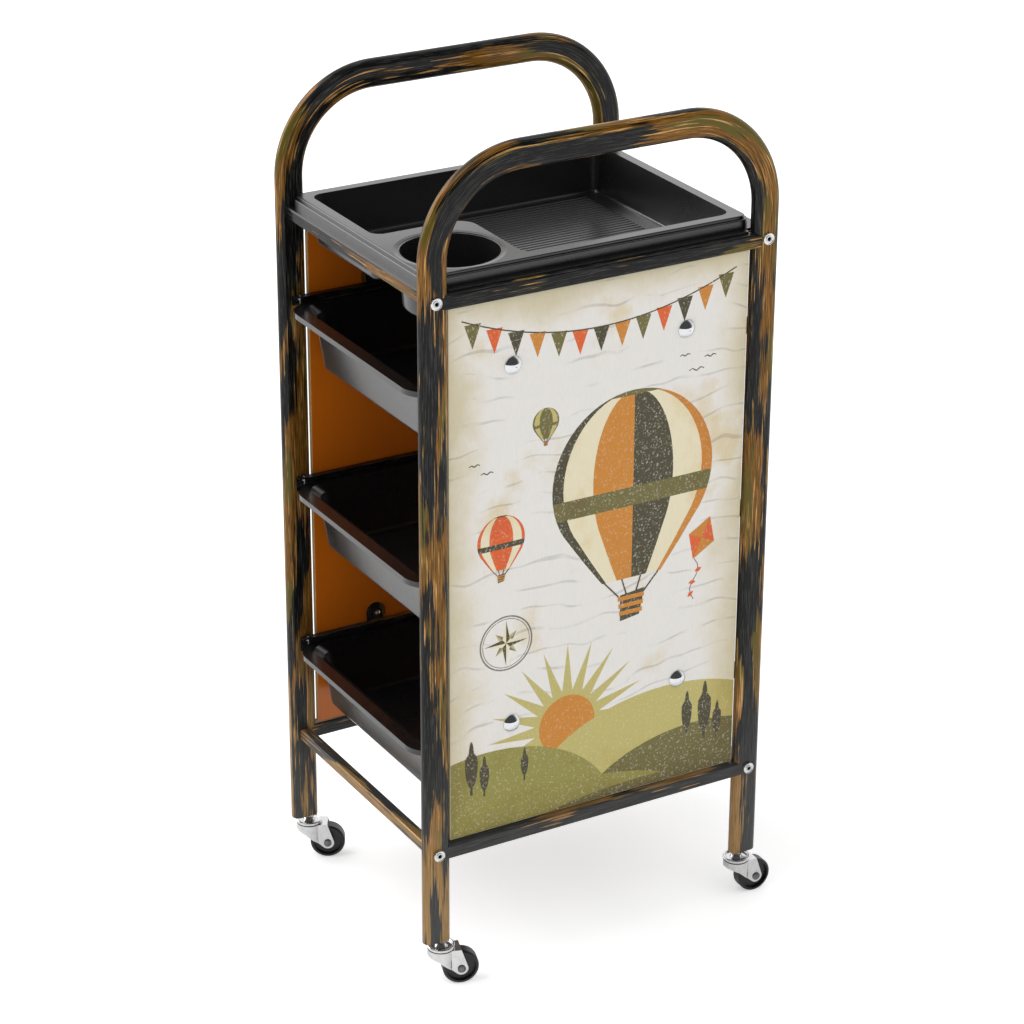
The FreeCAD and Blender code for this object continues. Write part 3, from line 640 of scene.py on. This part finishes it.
def aged_print():
    outputs = ("Color", "Roughness")
    group, enter, leave = new_group("aged_print", ("Place", "Ink", "Wear"), outputs)
    place = enter.outputs["Place"]
    parts = add_node(group, "SeparateXYZ", {0: place}).outputs
    to_side = sum_of(group, "SUBTRACT", board_half, sum_of(group, "ABSOLUTE", parts[1]))
    to_top = sum_of(group, "SUBTRACT", board_high.z, parts[2])
    to_low = sum_of(group, "SUBTRACT", parts[2], board_low.z)
    nearest = sum_of(group, "MINIMUM", to_side, sum_of(group, "MINIMUM", to_top, to_low))
    blotches = noise_at(group, place, blotch_scale, detail=6, roughness=0.62)
    uneven = times(group, blotches, border_wander, nearest)
    border = step_up(group, uneven, *border_edge)
    stained = step_up(group, blotches, *stain_edge)
    yellowed = sum_of(group, "MAXIMUM", times(group, border, 0.9), stained)
    tint = blend_of(group, border, stain_yellow, stain_olive)
    stain = times(group, yellowed, stain_strength)
    aged = blend_of(group, stain, enter.outputs["Ink"], tint, "MULTIPLY")
    flecks = noise_at(group, place, fleck_scale, detail=3, roughness=0.7)
    worn = times(group, step_up(group, flecks, *worn_edge), enter.outputs["Wear"])
    weave = noise_at(group, place, weave_scale, detail=1)
    shade = blend_of(group, weave, paint(244, 244, 244), paint(255, 255, 255))
    faded = blend_of(group, worn, aged, worn_cream)
    woven = blend_of(group, 1.0, faded, shade, "MULTIPLY")
    give_out(group, leave, Color=woven, Roughness=times(group, blotches, 0.22, 0.24))
    return group


print_group = aged_print()
print("board from", round(board_low.z / MM, 1), "to", round(board_high.z / MM, 1), "mm")

# %% [markdown]
# Each ink is a material of its own that passes its colour through the group. The paper's ink
# also gets faint grey lines that wander like the contours of a map, drawn by a distorted wave.
# The board's inner face is a glossy amber lacquer, and its cut edge is pale wood.

# %% Inks, lacquer and the edge of the board
def ink(name, colour, wear):
    material, tree, shader = new_material(name)
    inputs = {"Place": object_place(tree), "Ink": colour, "Wear": wear}
    use_group(tree, shader, print_group, inputs)
    return material


ink_table = {
    "dark_olive": (paint(72, 66, 38), 0.5),
    "olive": (paint(112, 104, 48), 0.45),
    "moss": (paint(150, 144, 66), 0.35),
    "straw": (paint(196, 184, 110), 0.3),
    "gold": (paint(208, 134, 34), 0.3),
    "orange": (paint(226, 96, 26), 0.3),
    "cream": (paint(238, 228, 196), 0.1),
    "line_grey": (paint(128, 124, 112), 0.6),
}
inks = {name: ink("ink_" + name, *look) for name, look in ink_table.items()}
line_edge = (0.955, 0.99)
line_gap_scale = (24, 24, 24)
line_gap_edge = (0.42, 0.62)
lacquer_cloud_scale = (7, 7, 5)
lacquer_grain_scale = (260, 260, 12)
fibre_scale = (1800, 60, 60)


def paper_print():
    """The cream ground of the print with its wandering lines."""
    material, tree, shader = new_material("paper_print")
    place = object_place(tree)
    warp = {"Vector": place, "Scale": 13.0, "Distortion": 9.0, "Detail": 2.0, "Detail Scale": 0.7}
    wave = add_node(tree, "TexWave", warp, bands_direction="Z").outputs["Fac"]
    line = step_up(tree, wave, *line_edge)
    broken = step_up(tree, noise_at(tree, place, line_gap_scale, detail=3), *line_gap_edge)
    line = times(tree, times(tree, line, broken), 0.42)
    ground = blend_of(tree, line, paint(238, 235, 230), paint(168, 166, 160))
    inputs = {"Place": place, "Ink": ground, "Wear": 0.0}
    use_group(tree, shader, print_group, inputs)
    return material


def amber_lacquer():
    """Glossy orange-brown inner face, a little cloudy."""
    material, tree, shader = new_material("amber_lacquer", Coat_Weight=0.4, Coat_Roughness=0.08)
    place = object_place(tree)
    cloud = noise_at(tree, place, lacquer_cloud_scale, detail=4)
    grain = noise_at(tree, place, lacquer_grain_scale)
    mixed = times(tree, grain, 0.25, times(tree, cloud, 0.8))
    amber = blend_of(tree, mixed, paint(190, 94, 2), paint(216, 116, 20))
    fill(tree, shader.inputs["Base Color"], amber)
    fill(tree, shader.inputs["Roughness"], times(tree, grain, 0.1, 0.26))
    return material


def board_edge_wood():
    material, tree, shader = new_material("board_edge_wood", Roughness=0.55)
    fibre = noise_at(tree, object_place(tree), fibre_scale)
    wood = blend_of(tree, fibre, paint(196, 158, 92), paint(226, 196, 138))
    fill(tree, shader.inputs["Base Color"], wood)
    return material


board_faces = [paper_print(), amber_lacquer(), board_edge_wood()]
print(len(inks), "inks and", len(board_faces), "board finishes")

# %% [markdown]
# A board is a plain sheet, so a box is a fair start. Its edges are rounded a little, and then
# each face takes its finish by the way it looks: outwards the print, inwards the lacquer, and
# the wood all round.

# %% Cut the side boards
board_break = 0.5 * MM


def finish_board(board, outward):
    """Gives each face of a board its finish by the direction that it faces."""
    for material in board_faces:
        board.data.materials.append(material)
    for face in board.data.polygons:
        facing = face.normal.x * outward
        face.material_index = 0 if facing > 0.5 else 1 if facing < -0.5 else 2


for side, way in sides.items():
    low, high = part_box("side_board_" + side)
    board = start_piece(
        "board_" + side,
        "cube",
        size=1,
        location=(low + high) / 2,
        scale=high - low,
    )
    pick_all()
    bpy.ops.mesh.bevel(offset=board_break, segments=2, affect="EDGES")
    close_shape(board)
    finish_board(board, way)
    dress(board, "frame", "board_print", "side_board_" + side)

# %% [markdown]
# The print is a design of this script's own: a striped balloon over rolling hills, with bunting
# along the top. It is drawn flat, as on a table, where x runs along the board and y up it, and
# the finished sheet is then stood up against the board. Each shape is a thin relief, a few
# hundredths of a millimetre higher than the one behind it, as layers of screen ink are.

# %% Helpers for the print
ink_step = 0.05 * MM
print_layers = []


def flat_shape(name, at, half_size, points=4, turn=0.0, fan=False):
    """A flat shape with that many points round a place, in edit mode."""
    return start_piece(
        name,
        "circle",
        vertices=points,
        radius=1,
        fill_type="TRIFAN" if fan else "NGON",
        location=(at[0] * MM, at[1] * MM, 0),
        rotation=(0, 0, math.radians(turn)),
        scale=(half_size[0] * MM, half_size[1] * MM, 1),
    )


def clip(place, away):
    """Cuts the piece in edit mode along a plane and drops what lies on its away side."""
    pick_all()
    bpy.ops.mesh.bisect(plane_co=place, plane_no=away, clear_outer=True)


def lay_ink(piece, layer, *colours, choose=None):
    """Thickens a flat shape to its layer and gives it its inks, face by face."""
    pick_all()
    extrude(z=layer * ink_step)
    close_shape(piece)
    for colour in colours:
        piece.data.materials.append(inks[colour])
    if choose:
        for face in piece.data.polygons:
            face.material_index = choose(face.center)
    print_layers.append(piece)
    return piece


def press_flat(piece, thickness, layers):
    """Presses a round shape down to that many layers of ink."""
    select_only(piece)
    bpy.ops.object.mode_set(mode="EDIT")
    pick_all()
    stretch(1, 1, layers * ink_step / thickness, (0, 0, 0))
    bpy.ops.object.mode_set(mode="OBJECT")
    print_layers.append(piece)


def flat_line(name, start, end, width, layer, colour):
    """A straight stroke of ink between two places."""
    run = Vector(end) - Vector(start)
    middle = (Vector(start) + Vector(end)) / 2
    turn = math.degrees(math.atan2(run.y, run.x))
    piece = start_piece(
        name,
        "plane",
        size=1,
        location=(middle.x * MM, middle.y * MM, 0),
        rotation=(0, 0, math.radians(turn)),
        scale=(run.length * MM, width * MM, 1),
    )
    return lay_ink(piece, layer, colour)


print("ink step", ink_step / MM, "mm")

# %% [markdown]
# The hills come first, because they lie furthest back. Each is a wide oval cut off along the
# board's edges, which gives three calm outlines without placing a single point by hand. A low
# sun stands behind them. Its rays are a star: a circle of which every second point is drawn in.

# %% Hills and sun
print_margin = 0.8
print_left = -board_half / MM + print_margin
print_low = board_low.z / MM + print_margin
print_high = board_high.z / MM - print_margin
hill_table = (
    ("hill_far_right", (84, 158), (176, 118), 3, "straw"),
    ("hill_far_left", (-128, 150), (150, 104), 4, "moss"),
    ("hill_middle", (122, 132), (150, 92), 5, "olive"),
    ("hill_near", (-46, 104), (206, 92), 6, "moss"),
    ("meadow", (60, 92), (240, 84), 7, "olive"),
)
sun_place = (-34, 262)
sun_radius = 33
ray_reach, ray_count, ray_waist = 92, 20, 0.42


def clip_to_board():
    for way in (-1, 1):
        clip((-way * print_left * MM, 0, 0), (way, 0, 0))
    clip((0, print_low * MM, 0), (0, -1, 0))
    clip((0, print_high * MM, 0), (0, 1, 0))


def star(name, at, radius, points, drawn_in, turn=0.0, fan=False):
    """A star in edit mode: a circle with every second point drawn in towards its middle."""
    piece = flat_shape(name, at, (radius, radius), points * 2, turn, fan)
    middle = Vector((at[0] * MM, at[1] * MM, 0))

    def is_inner(vert):
        away = vert.co - middle
        if away.length < MM:
            return False
        share = (math.atan2(away.y, away.x) - math.radians(turn) - quarter_turn) / math.pi * points
        return round(share) % 2 == 1

    pick(piece, "verts", is_inner)
    stretch(drawn_in, drawn_in, 1, middle)
    return piece


lay_ink(star("sun_rays", sun_place, ray_reach, ray_count, ray_waist), 1, "straw")
lay_ink(flat_shape("sun_disc", sun_place, (sun_radius, sun_radius), 48), 2, "gold")
for name, at, half_size, layer, colour in hill_table:
    hill = flat_shape(name, at, half_size, 96)
    clip_to_board()
    lay_ink(hill, layer, colour)
print(len(hill_table), "hills and a sun")

# %% [markdown]
# The balloon is drawn by shape and not by outline. A real envelope is round, and its gores look
# narrower towards the sides. So a sphere is cut open below, drawn down to a mouth, halved, and
# its faces are inked by the gore they belong to. Pressed almost flat, it shows the stripes just
# as a draughtsman would curve them.

# %% Balloons
gore_count = 12
envelope_segments = 48
envelope_rings = 28
mouth_share = 0.52
neck_shares = ((0.36, 0.7), (0.3, 0.62))
band_share, band_half_share, crown_share = 0.18, 0.1, 0.93
balloon_layers = 8
basket_share = 0.16
balloon_table = (
    ("balloon_large", (40, 522), 94, ("gold", "cream", "dark_olive"), "olive"),
    ("balloon_small", (-112, 486), 27, ("orange", "cream", "orange"), "dark_olive"),
    ("balloon_far", (-62, 602), 15, ("olive", "straw", "olive"), "olive"),
)


def envelope(name, at, radius, colours, band):
    """The balloon's striped envelope, in low relief."""
    centre = Vector((at[0] * MM, at[1] * MM, 0))
    radius = radius * MM
    piece = start_piece(
        name,
        "uv_sphere",
        segments=envelope_segments,
        ring_count=envelope_rings,
        radius=radius,
        location=centre,
        rotation=(-quarter_turn, 0, 0),
    )
    rim = centre.y - mouth_share * radius
    clip((0, rim, 0), (0, -1, 0))
    for drop, share in neck_shares:
        pick(piece, "verts", lambda vert: abs(vert.co.y - rim) < 0.01 * MM)
        extrude(y=-drop * radius)
        rim -= drop * radius
        stretch(share, 1, share, (centre.x, rim, 0))
    clip((0, 0, 0), (0, 0, -1))
    pick(piece, "edges", lambda edge: edge.is_boundary)
    bpy.ops.mesh.edge_face_add()
    close_shape(piece)
    for colour in (*colours, band):
        piece.data.materials.append(inks[colour])
    for face in piece.data.polygons:
        away = face.center - centre
        gore = int(math.atan2(away.z, away.x) / (2 * math.pi) * gore_count) % len(colours)
        in_band = abs(away.y + band_share * radius) < band_half_share * radius
        in_crown = away.y > crown_share * radius
        face.material_index = len(colours) if in_band or in_crown else gore
    press_flat(piece, radius, balloon_layers)
    return rim / MM


def basket(name, at, radius, mouth):
    """Ropes down from the mouth and a basket under them."""
    top = mouth - 0.2 * radius
    half = basket_share * radius
    rope = 0.012 * radius + 0.4
    for share in (-1, -0.35, 0.35, 1):
        start = (at[0] + share * 0.34 * radius, mouth)
        end = (at[0] + share * half, top)
        flat_line(name + "_rope", start, end, rope, 8, "dark_olive")
    weave = flat_shape(name + "_basket", (at[0], top - half * 0.8), (half * 1.5, half * 1.2), 4, 45)
    pick(weave, "verts", lambda vert: vert.co.y < (top - half) * MM)
    stretch(0.78, 1, 1, (at[0] * MM, 0, 0))
    lay_ink(weave, 8, "dark_olive")
    for share in (0.2, 0.75, 1.3):
        level = top - half * share
        reach = half * (1.05 - share * 0.12)
        start, end = (at[0] - reach, level), (at[0] + reach, level)
        flat_line(name + "_band", start, end, 0.05 * radius, 9, "gold")


for name, at, radius, colours, band in balloon_table:
    mouth = envelope(name, at, radius, colours, band)
    basket(name, at, radius, mouth)
print(len(balloon_table), "balloons")

# %% [markdown]
# Bunting hangs across the top: a sagging string, which a parabola describes well enough, and a
# row of little flags in olive, orange and gold. The string is drawn as short straight strokes,
# two to a flag, and each flag is a circle of only three points, turned to point down.

# %% Bunting
bunting_half = 156.0
bunting_high = 724.0
bunting_sag = 34.0
flag_count = 13
flag_inks = ("olive", "orange", "dark_olive", "gold")
flag_drop = 8.5
flag_half = (10.5, 17)


def string_place(share):
    """A place on the string, from -1 at its left end to 1 at its right."""
    return (share * bunting_half, bunting_high - bunting_sag * (1 - share * share))


string_steps = 2 * flag_count
for i in range(string_steps):
    start = string_place(2 * i / string_steps - 1)
    end = string_place(2 * (i + 1) / string_steps - 1)
    flat_line("bunting_string", start, end, 1.3, 3, "dark_olive")
for i in range(flag_count):
    x, y = string_place((2 * i + 1) / flag_count - 1)
    flag = flat_shape("bunting_flag", (x, y - flag_drop), flag_half, 3, 180)
    lay_ink(flag, 2, flag_inks[i % len(flag_inks)])
print(flag_count, "flags")

# %% [markdown]
# Small things fill the rest of the sheet, each made from the shape that it most resembles. A kite
# is a circle of four points, a compass star is two stars in a double ring, a cypress is a tall
# oval drawn in towards its top, and a bird is two strokes for each wing. Where a shape has a light
# and a dark side, its faces are inked by the direction in which they lie from its middle.

# %% Kite, compass star, trees and birds
kite_place = (124, 436)
kite_turn = -24
kite_half = (17, 24)
compass_place = (-106, 372)
compass_stars = (
    ("compass_minor", 17, 0.36, 45, 2, ("straw", "line_grey")),
    ("compass_major", 25, 0.24, 0, 3, ("cream", "dark_olive")),
)
compass_rings = ((29.5, 0.9), (26.8, 0.45))
compass_ring_layers = 2
tree_table = (
    (-146, 214, 56), (-131, 208, 42), (-84, 214, 34), (112, 214, 48), (134, 206, 62), (150, 202, 40)
)
bird_table = ((112, 622, 9), (128, 634, 7), (98, 640, 6), (-128, 560, 7), (-142, 571, 6))


def panels(at, turn, width):
    """A test that gives 0 and 1 by turns round a place, in panels of that angle."""

    def panel(place):
        angle = math.atan2(place.y - at[1] * MM, place.x - at[0] * MM)
        return int(math.floor((angle - turn) / width)) % 2

    return panel


kite = flat_shape("kite", kite_place, kite_half, 4, kite_turn, fan=True)
kite_panel = panels(kite_place, math.radians(kite_turn), quarter_turn)
lay_ink(kite, 3, "orange", "gold", choose=kite_panel)
tail = [(kite_place[0] - 8 + 5 * math.sin(i * 0.9), kite_place[1] - 22 - 6.5 * i) for i in range(8)]
for i, (start, end) in enumerate(zip(tail, tail[1:])):
    flat_line("kite_tail", start, end, 0.8, 3, "dark_olive")
    if i % 2:
        lay_ink(flat_shape("kite_bow", end, (4.5, 2.6), 4, 20 * (i % 3)), 4, "orange")

compass_panel = panels(compass_place, 0, quarter_turn / 4)
for name, radius, drawn_in, turn, layer, colours in compass_stars:
    points = star(name, compass_place, radius, 4, drawn_in, turn, fan=True)
    lay_ink(points, layer, *colours, choose=compass_panel)
for radius, stroke in compass_rings:
    ring = start_piece(
        "compass_ring",
        "torus",
        major_radius=radius * MM,
        minor_radius=stroke * MM,
        major_segments=72,
        minor_segments=8,
        location=(compass_place[0] * MM, compass_place[1] * MM, 0),
    )
    close_shape(ring)
    ring.data.materials.append(inks["line_grey"])
    press_flat(ring, stroke * MM, compass_ring_layers)

for x, y, height in tree_table:
    crown = flat_shape("cypress", (x, y + height * 0.55), (height * 0.13, height * 0.47), 24)
    pick(crown, "verts", lambda vert: vert.co.y > (y + height * 0.7) * MM)
    stretch(0.45, 1, 1, (x * MM, 0, 0))
    lay_ink(crown, 9, "dark_olive")
    flat_line("cypress_trunk", (x, y - 4), (x, y + height * 0.15), height * 0.05, 8, "dark_olive")
for x, y, reach in bird_table:
    for way in (-1, 1):
        high = y + reach * 0.35
        tip = (x + way * reach, y + reach * 0.15)
        flat_line("bird_wing", (x, y), (x + way * reach * 0.55, high), 1.2, 2, "dark_olive")
        flat_line("bird_wing", (x + way * reach * 0.5, high), tip, 0.9, 2, "dark_olive")
print(len(print_layers), "shapes in the print")

# %% [markdown]
# The sheet is joined and stood up against the right board, and a copy of it, turned round by
# half a turn, goes against the left one. Both then have their place in their own mesh, so that
# the ageing reads where each ink lies on the cart.

# %% Print both boards
def stand_up(sheet, outward, face_x):
    """Turns the flat sheet so that it stands against a board's outer face."""
    select_only(sheet)
    sheet.rotation_euler = (quarter_turn, 0, outward * quarter_turn)
    sheet.location = (face_x, 0, 0)
    bpy.ops.object.transform_apply()


select_only(print_layers[0])
for piece in print_layers:
    piece.select_set(True)
bpy.ops.object.join()
right_print = bpy.context.object
right_print.name = "print_right"
left_print = copy_of(right_print, "print_left")
stand_up(right_print, 1, board_high.x)
stand_up(left_print, -1, -board_high.x)
for sheet in (right_print, left_print):
    dress(sheet, "frame", "board_print")

# %% [markdown]
# The tray and the drawers are moulded from one black plastic. It isn't a single black: a fine
# grain breaks up its shine, the flow of the plastic leaves faint clouds, and use leaves scuffs
# along it. Their CAD shapes already have every rib and rounded corner, so they only get this
# finish. The grain is a group, because the wheels use it too with their own values.

# %% Moulded plastic
cloud_scale = (16, 16, 16)
scuff_scale = (90, 340, 90)
scuff_edge = (0.6, 0.74)
grain_relief = 0.05 * MM


def moulded_grain():
    inputs = ("Place", "Grain", "Dark", "Light", "Shine")
    outputs = ("Color", "Roughness", "Height")
    group, enter, leave = new_group("moulded_grain", inputs, outputs)
    place = enter.outputs["Place"]
    stretched = {0: place, "Scale": enter.outputs["Grain"]}
    fine = add_node(group, "VectorMath", stretched, operation="SCALE").outputs[0]
    grain = noise_at(group, fine, (1, 1, 1))
    cloud = noise_at(group, place, cloud_scale, detail=4)
    scuffs = noise_at(group, place, scuff_scale, detail=3, roughness=0.7)
    scuffed = step_up(group, scuffs, *scuff_edge)
    tint = times(group, scuffed, 0.35, times(group, cloud, 0.65))
    black = blend_of(group, tint, enter.outputs["Dark"], enter.outputs["Light"])
    rough = times(group, grain, 0.08, times(group, cloud, 0.1))
    rough = times(group, scuffed, 0.1, rough)
    rough = sum_of(group, "ADD", rough, enter.outputs["Shine"])
    give_out(group, leave, Color=black, Roughness=rough, Height=grain)
    return group


grain_group = moulded_grain()


def plastic(name, dark, light, shine, grain_size, coat):
    """Moulded plastic between two blacks, with its grain and a clear gloss."""
    material, tree, shader = new_material(name, Coat_Weight=coat, Coat_Roughness=0.22)
    inputs = dict(Place=object_place(tree), Grain=grain_size, Dark=dark, Light=light, Shine=shine)
    use_group(tree, shader, grain_group, inputs, grain_relief, 0.35)
    return material


tray_black = plastic("tray_black", paint(17, 17, 18), paint(30, 30, 31), 0.2, 1600, coat=0.85)
wheel_black = plastic("wheel_black", paint(15, 15, 16), paint(34, 34, 36), 0.3, 2400, coat=0.2)
plug_black = plastic("plug_black", paint(20, 20, 20), paint(30, 30, 30), 0.4, 2000, coat=0.0)
finish_node("top_tray", tray_black)
for level in levels:
    finish_node("drawer_" + level, tray_black)
finish_node("leg_plugs", plug_black)
print("plastics ready")

# %% [markdown]
# The small metal parts are plated. Zinc is a little cloudy and scratched, nickel on the frame's
# bolts is brighter, and the domed caps are chromed almost to a mirror. One group gives the clouds
# and the scratches, and each metal says how strong they are.

# %% Plated metals
stain_scale = (170, 170, 170)
dull_edge = (0.4, 0.72)
scratch_scale = (260, 260, 4200)
plate_scratch_edge = (0.58, 0.72)
plating_relief = 0.02 * MM
# Near black for shade painted into hollows.
painted_shade_black = paint(14, 14, 15)


def plating():
    inputs = ("Place", "Bright", "Dull", "Polish", "Wear")
    outputs = ("Color", "Roughness", "Height")
    group, enter, leave = new_group("plating", inputs, outputs)
    place = enter.outputs["Place"]
    clouds = noise_at(group, place, stain_scale, detail=5, roughness=0.6)
    scratches = noise_at(group, place, scratch_scale, roughness=0.6)
    scratched = step_up(group, scratches, *plate_scratch_edge)
    dull = times(group, step_up(group, clouds, *dull_edge), enter.outputs["Wear"])
    metal = blend_of(group, dull, enter.outputs["Bright"], enter.outputs["Dull"])
    rough = times(group, dull, 0.22, enter.outputs["Polish"])
    scratch_wear = times(group, scratched, enter.outputs["Wear"])
    rough = times(group, scratch_wear, 0.12, rough)
    give_out(group, leave, Color=metal, Roughness=rough, Height=scratch_wear)
    return group


plating_group = plating()


def plated(name, bright, dull, polish, wear, painted_shade_at=None):
    """A plated metal, darkened with painted shade where an optional mask on the tree is high."""
    material, tree, shader = new_material(name, Metallic=1.0)
    inputs = dict(Place=object_place(tree), Bright=bright, Dull=dull, Polish=polish, Wear=wear)
    made = use_group(tree, shader, plating_group, inputs, plating_relief, 0.4)
    # A mask of painted shade darkens the colour towards near black and roughens it.
    if painted_shade_at:
        painted_shade = painted_shade_at(tree)
        colour = blend_of(tree, painted_shade, made["Color"], painted_shade_black)
        rough = sum_of(tree, "MAXIMUM", made["Roughness"], times(tree, painted_shade, 0.8))
        fill(tree, shader.inputs["Base Color"], colour)
        fill(tree, shader.inputs["Roughness"], rough)
    return material


print("plating group has", len(plating_group.nodes), "nodes")

# %% [markdown]
# The frame's bolts have a pale round head with a dark socket in it, which says "bolt" even from
# afar. The socket is cut in the CAD part, but so small a hollow still catches light, so its shade
# is painted in by a mask, dark in the socket and grey in a ring round it. All bolts of a side are
# one part, and stand at two depths and two heights. So the mask measures how far a point is from
# the nearest of two places each way, and from both how far it is from its own bolt's axis.

# %% Painted shade in the bolt heads
bolt_head = 12.5 * MM
socket_edge = (0.36, 0.3)
ring_edge = (0.62, 0.5)
# How dark the ring of painted shade round each socket is.
ring_shade = 0.3


def far_from(tree, value, places):
    """How far a coordinate lies from the nearest of two places."""
    middle, half = sum(places) / 2, abs(places[1] - places[0]) / 2
    away = sum_of(tree, "ABSOLUTE", sum_of(tree, "SUBTRACT", value, middle))
    return sum_of(tree, "SUBTRACT", away, half)


def bolt_socket_shade(tree):
    """Painted shade: dark in the socket of each frame bolt, and a grey ring round it."""
    low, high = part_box("frame_bolts_right")
    head = bolt_head / 2
    parts = add_node(tree, "SeparateXYZ", {0: object_place(tree)}).outputs
    across = far_from(tree, parts[1], (low.y + head, high.y - head))
    above = far_from(tree, parts[2], (low.z + head, high.z - head))
    squares = times(tree, across, across, times(tree, above, above))
    share = sum_of(tree, "DIVIDE", sum_of(tree, "SQRT", squares), head)
    socket = step_up(tree, share, *socket_edge)
    ring = step_up(tree, share, *ring_edge)
    return sum_of(tree, "MAXIMUM", socket, times(tree, ring, ring_shade))


# The bolt heads take painted shade in their sockets and in a ring round them.
nickel = plated("nickel_plate", paint(240, 240, 240), paint(208, 208, 208), 0.22, 0.4, bolt_socket_shade)
for side in sides:
    finish_node("frame_bolts_" + side, nickel)
print("bolt heads of", bolt_head / MM, "mm finished")

# %% [markdown]
# The other metal parts share four finishes. Forks, race plates, stems and most nuts are bright
# zinc. The riveted axles, and the stop screws with their nuts, are zinc that has gone dark. The
# domed caps on the boards are chrome, and the balls in the casters are plain polished steel.

# %% Zinc, chrome and steel
zinc = plated("zinc_plate", paint(232, 232, 232), paint(196, 196, 198), 0.18, 0.35)
dark_zinc = plated("dark_zinc_plate", paint(128, 128, 130), paint(70, 70, 72), 0.24, 0.8)
chrome = plated("chrome_plate", paint(236, 238, 240), paint(200, 204, 208), 0.05, 0.3)
steel = plated("ball_steel", paint(200, 200, 204), paint(140, 140, 144), 0.12, 0.5)
for side in sides:
    finish_node("board_caps_" + side, chrome)
    finish_node("board_nuts_" + side, zinc)
finish_node("stem_nuts", zinc)
for name in ("stop_screws", "stop_nuts"):
    finish_node(name, dark_zinc)
caster_finish = {"balls": steel, "wheel": wheel_black, "axle": dark_zinc}
caster_finish.update({"stem": zinc, "cup_plate": zinc, "fork": zinc})
for corner in corners:
    for part, finish in caster_finish.items():
        finish_node("caster_" + part + "_" + corner, finish)
print("metals ready")
